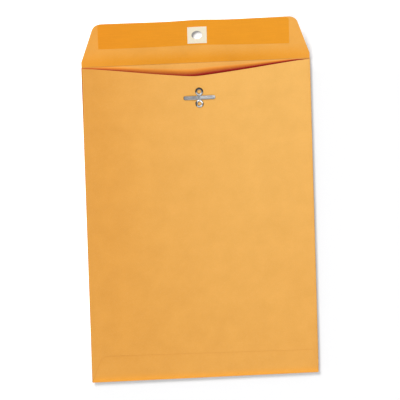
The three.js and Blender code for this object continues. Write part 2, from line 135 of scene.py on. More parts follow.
# Closure flap
FLAP_LENGTH = 44.45
FLAP_RAISED = math.radians(30.0)
FLAP_SIDE_RISE = 5.2
FLAP_TAPER = 11.6
FLAP_CORNER = 8.0
FLAP_LEAN = -1.5
GUM_BOND = 0.02
GUM_FILM = 0.04
GUM_START_LEFT = 18.3  # distance from the crease at each end
GUM_START_RIGHT = 16.4
GUM_EDGE = 0.4  # bare paper left along the flap's free edge
GUM_HALF = 79.2
GUM_X = -1.25
GUM_CORNER = 3.0
PATCH_BOTTOM = 0.08
PATCH = 0.2
PATCH_WIDTH = 16.0
PATCH_LENGTH = 17.0
PATCH_SHIFT = 0.15  # of its middle, sideways from the hole
HOLE_RADIUS = 4.45
HOLE_DISTANCE = 28.8
HOLE_X = 1.5

# Clasp, in its own axes: Z up from the paper's face
CLASP_X = 1.65
CLASP_DISTANCE = 28.4
METAL = 0.28
PLATE_TOP = 0.31
SEAT = 0.03
RING_PITCH = 10.1
BARREL_RADIUS = 1.9
BARREL_BORE = 1.6
EYELET_HOLE = 1.98
HEAD_RADIUS = 3.34
HEAD_HEIGHT = 0.7
HEAD_POWER = 0.8  # of a sine, which makes the head's shoulders fuller than an arc's
CLINCH_RADIUS = 2.7
CLINCH_THICKNESS = 0.2
PRONG_WIDTH = 3.2
PRONG_TIP_RADIUS = 1.3
PRONG_BEAD = 0.24
PRONG_BOW = 0.3
PRONG_DROOP = 0.18
KNUCKLE_RADIUS = 0.3
KNUCKLE_X = 0.72
KNUCKLE_Z = 0.65
BRIDGE_LENGTH = 2.8

# Camera, fitted to the corners of the envelope in the picture
PICTURE = 400
CAMERA_PLACE = (-328.71, 757.13, 4320.08)
CAMERA_TURN = (0.16779476, -0.07843141, -0.03814445)
CAMERA_FOCUS = 5274.6953  # in pixels of the picture
SENSOR = 36.0

# Rows, columns and blocks of the paper grids
FOLD_STEPS = 13  # points on half a turn
RIM_LINES = (0.25, 0.5, 0.8, 1.2)  # extra lines along a rim, by their distance from it
STRAIGHT_ROWS = 112.5  # the clasp panel's rows are straight up to here
LEFT_COLUMNS = (-92.0, -89.0, -86.5)  # the clasp panel's, over the side seam strip
RIGHT_COLUMN = 94.3
BULGE_COLUMNS = 29
FLAP_CORE = 60.0  # half the width over which the flap's columns are straight
SIDE_RUN = 16.0  # width by each end over which the bottom flap's columns are drawn in
GUM_SIDE_RUN = 10.0
EYELET_BLOCK = 2.6  # half sides of the blocks round the holes
HOLE_BLOCK = 7.0
BLOCK_CELLS = 12
BLOCK_CLEAR = 1.04  # grid lines nearer than this share of a block's half side give way to it

# Each piece shows a stretch of grain of its own, this far on
PANEL_GRAIN = 600.0
BOTTOM_GRAIN = 400.0
DISC_GRAIN = 300.0

# Painted shade along the folds, the crease and the rims of the paper, in the fold colour, and a
# warmer tint by the bottom fold: strengths, and half widths of the bells round them.
# A pair holds the strength and then the half width, unless its line says otherwise.
FOLD_SHADE = 0.3
LEFT_FOLD_HALF = 0.9
RIGHT_FOLD_SHADE_LINES = ((0.4, 1.0), (-1.9, 0.3))  # places past the start of the right fold
RIGHT_RIM_SHADE = (0.5, 0.5)
BOTTOM_RIM_HALF = 0.5
BOTTOM_ENDS = (0.75, 0.15)  # strengths at the bottom flap's left and right ends
BOTTOM_ENDS_START = 0.02  # share of its height from which they show
BOTTOM_WARM = (0.6, 3.5)  # of the warmer tint round the bottom fold
# Painted shade in the crease between the flap and the address panel
CREASE_SHADE = (0.7, 0.45)
CREASE_PLACE = 0.1  # distance from the crease at which its mark is strongest
CREASE_ROLL = 0.2  # and how much further on it is where the paper has turned with the flap

# Painted shade of the pocket on the address panel. It is whole up to a line behind the throat's
# edge and fades from there over a reach that is longest at SHADE_X. The line lies further back
# where the crown stands open and hides more, and round one place, and less far back at the right.
SHADE_REACH = 7.0
SHADE_X = -15.0
SHADE_HALF = 80.0
SHADE_START = 0.45
SIGHT_OVER = 0.77
SHADE_MORE = (0.6, -38.0, 22.0)  # how much further back, and the place and its half width
SHADE_RIGHT = (1.15, -20.0, 12.0)  # how much less, and where that comes on
OPEN_START = 90.0  # the address panel's inside shows from here up

# The shades painted in the throat and under the flap's hole are right for a view from above,
# so they go as a face turns away from the sight, by Layer Weight's measure
SHADE_TURN = (0.03, 0.06)

# Colours of the throat's shade from none to the whole, each with its share of it
THROAT_TINTS = (
    (0.0, (0.870, 0.420, 0.093)),
    (0.1, (0.940, 0.430, 0.092)),
    (0.25, (0.960, 0.370, 0.052)),
    (0.45, (0.820, 0.245, 0.030)),
    (0.68, (0.640, 0.140, 0.025)),
    (0.84, (0.520, 0.040, 0.022)),
    (1.0, (0.330, 0.001, 0.005)),
)

# Small departures of the flap and the clasp panel from flat sheets
SWAY_HALF = 62.0
HUMP_X = 3.0
HUMP_HALF = 17.0
WAVE = 0.15  # height of the waves at the flap's free edge
RIDGE_RUN = (-0.2, 1.1)  # over which the panel steps down past the side seam strip

# Bow of the gummed band's lower edge, and the height over which bow and slant fade out
GUM_BOW = 1.2
GUM_BOW_HALF = 45.0
GUM_SLANT_RUN = 6.0

# Clasp details that only show close up
DISC_PLAY = 0.03
DISC_CROWN = 0.05
PRONG_LEFT_REACH = 13.15
PRONG_RIGHT_REACH = 13.25
KNUCKLE_SWEEP = (-60, -270)  # degrees
KNUCKLE_RUN = 1.4  # over which the prong comes down from its knuckle
NECK_RUN = 1.2  # over which it widens from the bridge's width
BEAD_START = (0.8, 2.4)  # over which its bead rises
LEFT_BEAD_END = (0.2, 0.7)  # distances from the tip over which the bead falls
RIGHT_BEAD_END = (0.6, 2.0)
LEFT_BEAD_LEVEL = 0.8  # of the left prong's two ridges, as a share of the full bead
LEFT_BEAD_HALF = 1.15
RIGHT_BEAD_HALF = 0.85

# Painted dark reflections and painted highlights in arcs on the rings: the ring's side, the way
# that the arc lies from its centre, its radius and half width, and the reach that way over which it
# comes up
PAINTED_DARK_ARCS = (
    (1, (0.0, 1.0), (2.9, 0.9), (-1.4, 0.2)),
    (-1, (-1.0, 0.0), (2.9, 0.9), (1.9, 2.4)),
    (-1, (1.0, 0.0), (2.9, 0.6), (2.1, 2.7)),
)
PAINTED_HIGHLIGHT_ARCS = ((-1, (0.72, 0.7), (2.3, 0.8), (1.8, 2.2)),)
ARC_CORE = 0.6  # share of an arc's half width that is at full strength

# Painted shade of the flap's bend: its inside deepens towards the crease over a run, and most in
# the middle
BEND_SHADE_RUN = (2.0, 18.0)
INSIDE_START = (-0.1, 0.6)  # over which the inside's tint comes up past the crease
BEND_SHADE_MIDDLE = 1.05
BEND_SHADE_FALL = 0.4

# Painted light: the paper is drawn paler to the right and towards the top, where more light fell on
# it. The share of its paler tone, with X and Y in metres, is
# (TONE_MIDDLE + TONE_SLOPE X + TONE_CURVE X squared) (1 + TONE_RISE Y), or TONE_LEAST if more.
TONE_MIDDLE = 0.47
TONE_SLOPE = 3.37
TONE_CURVE = -20.0
TONE_RISE = 3.7
TONE_LEAST = 0.1

# Grain of the paper
FIBRE_LENGTH = 0.0022  # metres, for which the fibre pattern is drawn
FIBRE_TINT = (1.0, 0.75, 0.4)

# Light and dark clouds in kraft and gum, as factors
DARK_CLOUD = (0.955, 0.94, 0.905)
LIGHT_CLOUD = (1.045, 1.06, 1.095)

# Light that the paper throws on what lies near it is greyer than the paper
BOUNCE_SHARE = 0.8
BOUNCE_TINT = (0.5, 0.48, 0.46)

# Stage, in metres
FLOOR_HALF = 20.0
FLOOR_GLOW = (0.0, 0.85)  # at the lower right, and at the upper left
GLOW_AIM = (-0.85, 0.5, 0.0)  # from the one towards the other
GLOW_RUN = (0.01, 0.035)  # over which it comes up
UPPER_GLOW = (0.0, 0.18)  # the least glow beside the flap, below and above a run in Y
UPPER_RUN = (0.12, 0.145)
HOLE_SPOT = (0.0037, 0.1525)  # where the light through the flap's hole falls
HOLE_SPOT_EDGE = (0.0059, 0.0028)  # distances from it over which it comes up
HOLE_SHADE_EDGE = (0.009, 0.010)  # and over which the shade round it ends
HOLE_SHADE = 0.45  # the floor's colour in that shade, as a factor
AMBIENT = 0.43

# Each lamp's name, azimuth, elevation, level and spread, in degrees
LAMPS = (
    ("key", 121.0, 47.0, 0.40, 20.0),
    ("fill", -90.0, 60.0, 0.22, 60.0),
)


class EnvelopeSizes(bpy.types.PropertyGroup):
    """Sizes of the dressed envelope that the frame leaves open."""

    flap_hump: FloatProperty(
        name="Flap hump",
        description="How much lower the middle of the flap leans than its sides",
        default=math.radians(1.85),
        subtype="ANGLE",
    )
    flap_sway: FloatProperty(
        name="Flap sway",
        description="How much higher the flap leans on each side of the hump",
        default=math.radians(0.8),
        subtype="ANGLE",
    )
    strip_ridge: FloatProperty(
        name="Strip ridge",
        description="Step in the clasp panel over the edge of the side seam strip",
        default=0.00006,
        unit="LENGTH",
        precision=5,
    )
    fibre_length: FloatProperty(
        name="Fibre length",
        description="Length of the fibres that show in the kraft paper",
        default=FIBRE_LENGTH,
        unit="LENGTH",
        precision=4,
    )
    floor_drop: FloatProperty(
        name="Floor drop",
        description="How far the floor lies below the paper, which is never quite flat",
        default=0.0037,
        unit="LENGTH",
        precision=4,
    )


def colour(name, description, default):
    """A colour property with its default as a linear red, green and blue."""
    return FloatVectorProperty(
        name=name, description=description, default=default, subtype="COLOR", min=0, max=1
    )


class EnvelopeColours(bpy.types.PropertyGroup):
    """Colours of the envelope's materials and of the stage."""

    # Each left and right pair is one colour, painted as a shaded and a lit copy: painted light
    # pales it to the right
    kraft_shaded_left: colour("Kraft, left", "Kraft paper at the left side", (0.742, 0.330, 0.057))
    kraft_lit_right: colour("Kraft, right", "Kraft paper at the right side", (0.900, 0.492, 0.128))
    flap_shaded_left: colour("Flap, left", "Inside of the flap at its left side", (0.985, 0.428, 0.068))
    flap_lit_right: colour("Flap, right", "Inside of the flap at its right side", (1.0, 0.470, 0.088))
    # Inside is the deeper tint of the painted shade by the flap's crease; the warm mark lays it
    # round the bottom fold too
    inside: colour("Inside", "Inside of the flap by the crease", (1.0, 0.388, 0.027))
    # Fold is the colour of the painted shade along folds, the crease and rims, and of the bark
    # specks
    fold: colour("Fold", "Kraft paper where it is creased", (0.700, 0.280, 0.050))
    gum_shaded_left: colour("Gum, left", "Gummed band at its left end", (0.930, 0.323, 0.0085))
    gum_lit_right: colour("Gum, right", "Gummed band at its right end", (0.955, 0.366, 0.0140))
    patch: colour("Patch", "Patch round the flap's hole", (1.000, 0.905, 0.695))
    tinplate: colour("Tinplate", "Metal of the clasp", (0.340, 0.345, 0.350))
    # Shine is the colour of the painted highlights on the metal
    painted_highlight: colour("Shine", "Metal where it is bright", (0.880, 0.885, 0.895))
    glue: colour("Glue", "Dried glue in the seams", (0.694, 0.434, 0.162))
    floor: colour("Floor", "Floor under the envelope", (0.960, 0.960, 0.965))


def smoothstep(value, start, end):
    """0 before start, 1 after end, with a smooth rise between."""
    share = np.clip((value - start) / (end - start), 0, 1)
    return share * share * (3 - 2 * share)


def bell(value, centre, half):
    """A bell of height 1 round a centre."""
    return np.exp(-(((value - centre) / half) ** 2))


def plan_grid(across, along):
    """The points of a rectangular grid, row by row, and its quads, counterclockwise from above."""
    columns, rows = len(across), len(along)
    u, v = np.meshgrid(across, along)
    index = np.arange(rows * columns).reshape(rows, columns)
    quads = np.stack([index[:-1, :-1], index[:-1, 1:], index[1:, 1:], index[1:, :-1]], -1)
    return np.stack([u.ravel(), v.ravel()], 1), quads.reshape(-1, 4)


def disc_grid(radius, count):
    """A square grid drawn into a disc: each coordinate shrinks as the other one grows."""
    points, quads = plan_grid(np.linspace(-1, 1, count), np.linspace(-1, 1, count))
    return radius * points * np.sqrt(1 - points[:, ::-1] ** 2 / 2), quads


def with_block(lines, centre, half, count=8):
    """Grid lines with an even block of them from centre - half to centre + half."""
    kept = lines[np.abs(lines - centre) > half * BLOCK_CLEAR]
    return np.sort(np.concatenate([kept, np.linspace(centre - half, centre + half, count + 1)]))


def pierce(points, quads, across, along, hole, rings=3):
    """Cuts a round hole into a grid: the square block of cells round it is taken out, and
    rings of quads lead from the block's outline to a circle of as many points."""
    x, y, radius, half = hole
    columns = len(across)
    middles = points[quads].mean(1)
    inside = (np.abs(middles[:, 0] - x) < half) & (np.abs(middles[:, 1] - y) < half)
    left, right = (np.abs(across - (x + side * half)).argmin() for side in (-1, 1))
    low, high = (np.abs(along - (y + side * half)).argmin() for side in (-1, 1))
    loop = np.concatenate(
        [
            low * columns + np.arange(left, right),
            np.arange(low, high) * columns + right,
            high * columns + np.arange(right, left, -1),
            np.arange(high, low, -1) * columns + left,
        ]
    )
    outline = points[loop]
    turn = np.arctan2(outline[:, 1] - y, outline[:, 0] - x)
    circle = np.array([x, y]) + radius * np.stack([np.cos(turn), np.sin(turn)], 1)
    new_points, new_quads, outer = [points], [quads[~inside]], loop
    for ring in range(1, rings + 1):
        share = ring / rings
        inner = len(points) + (ring - 1) * len(loop) + np.arange(len(loop))
        new_points.append(outline * (1 - share) + circle * share)
        new_quads.append(np.stack([outer, np.roll(outer, -1), np.roll(inner, -1), inner], 1))
        outer = inner
    return np.concatenate(new_points), np.concatenate(new_quads)


def flap_grid(across, along):
    """A plan grid of the flap with its round hole, in a block of cells of its own."""
    across = with_block(across, HOLE_X, HOLE_BLOCK, BLOCK_CELLS)
    along = with_block(along, HOLE_DISTANCE, HOLE_BLOCK, BLOCK_CELLS)
    points, quads = plan_grid(across, along)
    return pierce(points, quads, across, along, (HOLE_X, HOLE_DISTANCE, HOLE_RADIUS, HOLE_BLOCK))


def spread(across, core, half, left, right):
    """Lines inside the core stay straight, and those outside it are drawn out evenly, so that
    the outermost ones, at -half and half, come to the left and the right limit."""
    share = np.maximum(np.abs(across) - core, 0) / (half - core)
    reach = np.where(across < 0, -left, right) - core
    return np.sign(across) * (np.minimum(np.abs(across), core) + share * reach)


def thicken(top, bottom, quads):
    """Closes two matching skins into one thin solid: the lower skin is turned over, and a wall
    stands along every edge that only one quad has. Also gives each point's number in a skin."""
    count = len(top)
    edges = quads[:, [0, 1, 1, 2, 2, 3, 3, 0]].reshape(-1, 2)
    forward = edges[:, 0] * count + edges[:, 1]
    backward = edges[:, 1] * count + edges[:, 0]
    rim = edges[~np.isin(backward, forward)]
    walls = np.stack([rim[:, 0] + count, rim[:, 1] + count, rim[:, 1], rim[:, 0]], 1)
    faces = np.concatenate([quads, quads[:, ::-1] + count, walls])
    used, compact = np.unique(faces, return_inverse=True)
    return np.concatenate([top, bottom])[used], compact.reshape(-1, 4), used % count


def sweep(rings, closed=False):
    """Joins rings of points, shaped (rings, points, 3), into a closed surface. An open row of
    rings ends in caps, each zipped from the ring's first half to its second."""
    count, size = rings.shape[:2]
    index = np.arange(count * size).reshape(count, size)
    behind, ahead = (index, np.roll(index, -1, 0)) if closed else (index[:-1], index[1:])
    sides = np.stack([behind, np.roll(behind, -1, 1), np.roll(ahead, -1, 1), ahead], -1)
    quads = [sides.reshape(-1, 4)]
    if not closed:
        k = np.arange(size // 2 - 1)
        cap = np.stack([k, k + 1, size - 2 - k, size - 1 - k], 1)
        quads += [index[-1][cap], index[0][cap][:, ::-1]]
    return rings.reshape(-1, 3), np.concatenate(quads)


def outward(points, quads):
    """The quads, turned round if the closed surface's signed volume is below zero."""
    a, b, c, d = (points[quads[:, k]] for k in range(4))
    volume = (a * (np.cross(b, c) + np.cross(c, d))).sum()
    return quads if volume > 0 else quads[:, ::-1]


def add_piece(name, points, quads, material, replaced=(), marks=None, sharp=40):
    """Puts a surface in millimetres into the scene as a mesh in metres, at the origin. Marks
    are values at its points that the material reads."""
    mesh = bpy.data.meshes.new(name)
    quads = outward(points, quads)
    mesh.vertices.add(len(points))
    mesh.vertices.foreach_set("co", (points * MM).astype(np.float32).ravel())
    mesh.loops.add(quads.size)
    mesh.loops.foreach_set("vertex_index", quads.astype(np.int32).ravel())
    mesh.polygons.add(len(quads))
    mesh.polygons.foreach_set("loop_start", np.arange(0, quads.size, 4, dtype=np.int32))
    mesh.update(calc_edges=True)
    if mesh.validate():
        raise RuntimeError(f"{name} has faces or edges that had to be mended")
    mesh.polygons.foreach_set("use_smooth", np.ones(len(quads), bool))
    mesh.set_sharp_from_angle(angle=math.radians(sharp))
    for label, values in (marks or {}).items():
        kind, field = ("FLOAT", "value") if values.ndim == 1 else ("FLOAT_VECTOR", "vector")
        layer = mesh.attributes.new(label, kind, "POINT")
        layer.data.foreach_set(field, values.astype(np.float32).ravel())
    mesh.materials.append(material)
    piece = bpy.data.objects.new(name, mesh)
    bpy.context.scene.collection.objects.link(piece)
    if replaced:
        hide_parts(*replaced)
    return piece


def corner_centre(height, slant, radius):
    """Centre of the arc that rounds the corner between a slanted side and a level top, and the
    height at which the side runs into it."""
    length = math.hypot(slant, height)
    y = height - radius
    return (radius * length + y * slant) / height, y, y + radius * slant / length


def corner_inset(y, height, slant, radius):
    """How far a slanted side with a rounded top corner has come in at each height: a straight
    line, and then an arc up to the level top."""
    centre_x, centre_y, tangent = corner_centre(height, slant, radius)
    rise = np.clip(y - centre_y, 0, radius)
    arc = centre_x - np.sqrt(np.maximum(radius**2 - rise**2, 0))
    return np.where(y < tangent, np.maximum(y, 0) * slant / height, arc)


def corner_rows(height, slant, radius, straight, curved):
    """Heights of rows that follow such a side: even up to the arc, and then by equal turns."""
    _, centre_y, tangent = corner_centre(height, slant, radius)
    turns = np.linspace(math.asin((tangent - centre_y) / radius), math.pi / 2, curved + 1)
    lower = np.linspace(0, tangent, straight, endpoint=False)
    return np.concatenate([lower, centre_y + radius * np.sin(turns)])


def add_paper(name, body, points, quads, replaced, x, along, **shares):
    """Adds a piece of kraft paper that rides a body, or has none yet. Its marks are its place
    on the flat sheet and shares that the material reads, each from 0 to 1."""
    marks = {"sheet": sheet_place(x, along), **shares}
    piece = add_piece(name, points, quads, kraft_material(), replaced, marks)
    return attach(piece, body) if body else piece


def sheet_place(x, along):
    """Places on the flat sheet, in metres, which the grain goes by."""
    return np.stack([x, along, 0 * x], 1) * MM


def pocket_shade(x, y):
    """Share of the pocket's shade on the address panel: whole under the throat's edge, and
    fading evenly out of it over a reach that is longest left of the middle."""
    more, *more_place = SHADE_MORE
    less, *less_run = SHADE_RIGHT
    start = SHADE_START + SIGHT_OVER * crown_share(x)
    start = start + more * bell(x, *more_place) - less * smoothstep(x, *less_run)
    reach = SHADE_REACH * bell(x, SHADE_X, SHADE_HALF)
    return 1 - np.clip((y - throat_y(x) + start) / reach, 0, 1)


def address_sheet():
    """The address panel with the left fold and the side seam strip. One section, carried along
    Y: the strip, half a turn round the left fold, and the panel. The strip's ends slant."""
    strip = np.linspace(STRIP_WIDTH - LEFT_TURN, 0, 5)
    turns = np.linspace(0, math.pi, FOLD_STEPS)[1:-1]
    panel = np.linspace(0, RIGHT_X - LEFT_X, 97)
    run = np.concatenate([strip, 0 * turns, panel])
    turn = np.concatenate([0 * strip, turns, 0 * panel + math.pi])
    flat = np.concatenate([-strip, turns * LEFT_TURN, panel + math.pi * LEFT_TURN])
    rows = np.concatenate([np.linspace(0, 0.9, 31)[:-1], np.linspace(0.9, 1, 81)])
    points, quads = plan_grid(np.arange(len(run)), rows)
    column = points[:, 0].astype(int)
    outside = WIDTH / 2 + STRIP_SLANT_START
    slant = STRIP_END_SLANT / (STRIP_WIDTH + STRIP_SLANT_START) * (LEFT_X + run + outside)
    share = (1 + np.cos(turn)) / 2
    low = BOTTOM_Y + (CREASE_GAP + slant) * share
    high = STOP_Y - slant * share
    y = low[column] + points[:, 1] * (high - low)[column]

    def face(radius):
        x = LEFT_X + run - np.sin(turn) * radius
        z = LEFT_TURN + np.cos(turn) * radius
        return np.stack([x[column], y, z[column]], 1)

    solid, faces, origin = thicken(face(LEFT_TURN), face(LEFT_TURN - PAPER), quads)
    # Painted shade along the left fold and along the panel's right edge
    fold = FOLD_SHADE * bell(flat, math.pi / 2 * LEFT_TURN, LEFT_FOLD_HALF)
    rim_shade, rim_half = RIGHT_RIM_SHADE
    fold = np.maximum(fold, rim_shade * bell(run, panel[-1], rim_half))
    return add_paper(
        "address_sheet",
        "pocket",
        solid,
        faces,
        ["address_panel", "side_seam_strip"],
        (LEFT_X + flat)[column][origin],
        y[origin],
        fold=fold[column][origin],
        # Painted shade of the pocket, down in the throat
        deep=pocket_shade((LEFT_X + run)[column], y)[origin],
        open=(y > OPEN_START)[origin] * 1.0,
    )


def bottom_flap_sheet():
    """The bottom fold and flap. Half a turn round the fold, and then a level sheet whose sides
    slant in to two rounded corners."""
    left_height, right_height = (h - BOTTOM_TURN for h in (SEAM_LEFT, SEAM_RIGHT))
    left_rows = corner_rows(left_height, SEAM_LEFT_SLANT, SEAM_LEFT_RADIUS, 8, 12) / left_height
    right_rows = corner_rows(right_height, SEAM_RIGHT_SLANT, SEAM_RIGHT_RADIUS, 1, 8)
    rim_rows = 1 - np.array(RIM_LINES) / left_height
    shares = np.concatenate([left_rows, right_rows / right_height, rim_rows])
    shares = np.unique(np.round(shares, 4))
    rows = np.concatenate([np.linspace(-math.pi, 0, FOLD_STEPS)[:-1], shares])
    half = (RIGHT_X - LEFT_X) / 2
    middle = (RIGHT_X + LEFT_X) / 2
    rim_columns = half - np.array(RIM_LINES)
    columns = np.concatenate([-rim_columns, np.linspace(-half, half, 90), rim_columns])
    points, quads = plan_grid(np.sort(columns), rows)
    turn = np.maximum(-points[:, 1], 0)
    share = np.maximum(points[:, 1], 0)
    left = corner_inset(share * left_height, left_height, SEAM_LEFT_SLANT, SEAM_LEFT_RADIUS)
    right = corner_inset(share * right_height, right_height, SEAM_RIGHT_SLANT, SEAM_RIGHT_RADIUS)
    x = middle + spread(points[:, 0], half - SIDE_RUN, half, left - half, half - right)
    height = left_height + (x - LEFT_X) / (RIGHT_X - LEFT_X) * (right_height - left_height)

    def face(radius):
        y = BOTTOM_Y + share * height - np.sin(turn) * radius
        return np.stack([x, y, BOTTOM_TURN + np.cos(turn) * radius], 1)

    solid, faces, origin = thicken(face(BOTTOM_TURN), face(BOTTOM_TURN - PAPER), quads)
    flat = share * height - turn * BOTTOM_TURN
    # Painted shadow along the bottom flap's free edge and its two ends
    ends = np.where(points[:, 0] < 0, *BOTTOM_ENDS)
    ends = ends * bell(np.abs(points[:, 0]), half, BOTTOM_RIM_HALF) * (share > BOTTOM_ENDS_START)
    rim = FOLD_SHADE * bell((1 - share) * left_height, 0, BOTTOM_RIM_HALF)
    warm_mark, warm_half = BOTTOM_WARM
    return add_paper(
        "bottom_flap_sheet",
        "pocket",
        solid,
        faces,
        ["bottom_flap"],
        x[origin],
        flat[origin] + BOTTOM_GRAIN,
        fold=np.maximum(rim, ends)[origin],
        warm=warm_mark * bell(flat, 0, warm_half)[origin],
    )


def crown_share(x):
    """Share of the full opening across the panel: none by the folds, whole in the middle."""
    left = smoothstep(x, BULGE_LEFT_X, -CROWN_HALF)
    return np.minimum(left, 1 - smoothstep(x, CROWN_HALF, BULGE_RIGHT_X))


def crown_rise(x, y):
    """Lift of the clasp panel: a parabola off the seam, and then a straight slope that reaches
    the clasp at the frame's height."""
    reach = CREASE_Y - CLASP_DISTANCE - MOUTH_HINGE_Y
    slope = MOUTH_SLOPE * reach / (reach - SOFT_START)
    above = np.maximum(y - MOUTH_HINGE_Y, 0)
    curve = above**2 / (4 * SOFT_START)
    lift = np.where(above < 2 * SOFT_START, curve, above - SOFT_START)
    return slope * lift * crown_share(x)


def throat_y(x):
    """Edge of the throat: a V with a vertex rounded like a hyperbola, and level shoulders that
    its arms ease into along another."""
    away = np.hypot(x - THROAT_X, THROAT_RADIUS) - THROAT_RADIUS
    over = (THROAT_DEPTH - away * math.tan(THROAT_ANGLE) - THROAT_SHOULDER) / 2
    drop = THROAT_SHOULDER + over + np.hypot(over, THROAT_EASE / 2)
    return np.minimum(HEIGHT / 2 - drop, CREASE_Y - CREASE_GAP)


def clasp_panel_piece(name, across, along, holes=(), fold=False, body=None, replaced=()):
    """A stretch of the clasp panel over a plan grid. Rows past STRAIGHT_ROWS are drawn in to
    the throat's edge, and with fold the columns go on for half a turn round the right fold."""
    turns = np.linspace(0, math.pi, FOLD_STEPS)[1:] if fold else np.zeros(0)
    columns = np.concatenate([across, RIGHT_X + turns])
    points, quads = plan_grid(columns, along)
    for hole in holes:
        points, quads = pierce(points, quads, columns, along, hole)
    x = np.minimum(points[:, 0], RIGHT_X)
    turn = points[:, 0] - x
    edge = np.where(turn > 0, STOP_Y, throat_y(x))
    share = np.maximum(points[:, 1] - STRAIGHT_ROWS, 0) / (CREASE_Y - CREASE_GAP - STRAIGHT_ROWS)
    y = np.minimum(points[:, 1], STRAIGHT_ROWS) + share * (edge - STRAIGHT_ROWS)
    ridge = bpy.context.scene.envelope_sizes.strip_ridge / MM
    start, end = (BULGE_LEFT_X + run for run in RIDGE_RUN)
    step = smoothstep(x, start, end) * (1 - smoothstep(x, end, -CROWN_HALF))
    rise = crown_rise(x, y) - ridge * step

    def face(radius):
        z = RIGHT_TURN + np.cos(turn) * radius + rise
        return np.stack([x + np.sin(turn) * radius, y, z], 1)

    solid, faces, origin = thicken(face(RIGHT_TURN), face(RIGHT_TURN - PAPER), quads)
    flat = x + turn * RIGHT_TURN
    # Painted shade along the right fold and along a line just inside it
    lines = [bell(flat, RIGHT_X + place, half) for place, half in RIGHT_FOLD_SHADE_LINES]
    folds = FOLD_SHADE * np.maximum(*lines)[origin]
    place = flat[origin] + PANEL_GRAIN, y[origin]
    return add_paper(name, body, solid, faces, replaced, *place, fold=folds)


def clasp_panel_sheets():
    """The clasp panel in three pieces that meet face to face: a flat foot under the bottom
    flap, and a left and a right crown half."""
    rise_left = np.linspace(BULGE_LEFT_X, -CROWN_HALF, BULGE_COLUMNS)[:-1]
    rise_right = np.linspace(CROWN_HALF, BULGE_RIGHT_X, BULGE_COLUMNS)
    left = np.concatenate([[-WIDTH / 2 + PANEL_SET_BACK], LEFT_COLUMNS, rise_left])
    left = np.concatenate([left, np.linspace(-CROWN_HALF, SPLIT_X, 10)])
    middle = with_block(np.linspace(SPLIT_X, CROWN_HALF, 14)[:-1], CLASP_X, EYELET_BLOCK)
    right = np.concatenate([middle, rise_right, [RIGHT_COLUMN, RIGHT_X]])
    foot = clasp_panel_piece(
        "clasp_panel_foot",
        np.unique(np.concatenate([left, right])),
        np.linspace(INNER_BOTTOM_Y, MOUTH_HINGE_Y, 8),
        fold=True,
        body="pocket",
        replaced=["clasp_panel"],
    )
    start = MOUTH_HINGE_Y + np.linspace(0, 2 * SOFT_START, 9)[:-1]
    rows = np.linspace(MOUTH_HINGE_Y + 2 * SOFT_START, STRAIGHT_ROWS, 40)[:-1]
    ends = np.linspace(STRAIGHT_ROWS, CREASE_Y - CREASE_GAP, 13)
    along = np.concatenate([start, rows, ends])
    holes = []
    for side in (-1, 1):
        place = CREASE_Y - CLASP_DISTANCE + side * RING_PITCH / 2 * math.cos(MOUTH_ANGLE)
        along = with_block(along, place, EYELET_BLOCK)
        holes.append((CLASP_X, place, EYELET_HOLE, EYELET_BLOCK))
    left_half = clasp_panel_piece("clasp_panel_left", left, along)
    right_half = clasp_panel_piece("clasp_panel_right", right, along, holes, fold=True)
    for piece, still in ((left_half, BULGE_LEFT_X), (right_half, BULGE_RIGHT_X)):
        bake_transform(piece)
    return foot, left_half, right_half


def wire(tree, kind, inputs=None, **settings):
    """Adds a node to a tree, sets it up, and feeds each input from a socket or a value."""
    node = tree.nodes.new(kind)
    for name, value in settings.items():
        setattr(node, name, value)
    for name, value in (inputs or {}).items():
        if isinstance(value, bpy.types.NodeSocket):
            tree.links.new(value, node.inputs[name])
        else:
            node.inputs[name].default_value = value
    return node


def noise(tree, place, scale, detail=2.0, roughness=0.5, distortion=0.0):
    """Noise at a place given in metres, with so many features to the metre."""
    inputs = {
        "Vector": place,
        "Scale": scale,
        "Detail": detail,
        "Roughness": roughness,
        "Distortion": distortion,
    }
    return wire(tree, "ShaderNodeTexNoise", inputs).outputs["Fac"]


def ramp(tree, value, low, high, to_low=0.0, to_high=1.0):
    """Stretches the values between two limits to two others, and clips the rest."""
    inputs = {0: value, 1: low, 2: high, 3: to_low, 4: to_high}
    return wire(tree, "ShaderNodeMapRange", inputs).outputs["Result"]


def maths(tree, operation, first, second=0.0, third=0.0):
    """One sum on two or three values."""
    inputs = {0: first, 1: second, 2: third}
    return wire(tree, "ShaderNodeMath", inputs, operation=operation).outputs[0]


def vector_maths(tree, operation, *vectors):
    """One sum on vectors. A length, a distance or a dot product comes out as a value."""
    node = wire(tree, "ShaderNodeVectorMath", dict(enumerate(vectors)), operation=operation)
    single = operation in ("LENGTH", "DISTANCE", "DOT_PRODUCT")
    return node.outputs["Value" if single else "Vector"]


def blended(tree, share, first, second, kind="MIX"):
    """Two colours mixed by a share."""
    node = wire(tree, "ShaderNodeMix", data_type="RGBA", blend_type=kind)
    for index, value in ((0, share), (6, first), (7, second)):
        if isinstance(value, bpy.types.NodeSocket):
            tree.links.new(value, node.inputs[index])
        else:
            node.inputs[index].default_value = value
    return node.outputs[2]


def laid_on(tree, tint, other, share, strength):
    """A tint with another one laid on it by a share, at a strength."""
    return blended(tree, maths(tree, "MULTIPLY", share, strength), tint, other)


def tint_steps(tree, value, steps):
    """A colour that runs through several steps, each at its own value."""
    node = wire(tree, "ShaderNodeValToRGB", {"Fac": value})
    stops = node.color_ramp.elements
    while len(stops) < len(steps):
        stops.new(0.5)
    for stop, (place, tint) in zip(stops, steps):
        stop.position = place
        stop.color = (*tint, 1.0)
    return node.outputs["Color"]


def stretched(tree, place, turn, along, across):
    """A place turned about Z and scaled unevenly, so that a pattern becomes streaks."""
    inputs = {"Vector": place, "Rotation": (0, 0, turn), "Scale": (along, across, across)}
    return wire(tree, "ShaderNodeMapping", inputs, vector_type="TEXTURE").outputs[0]


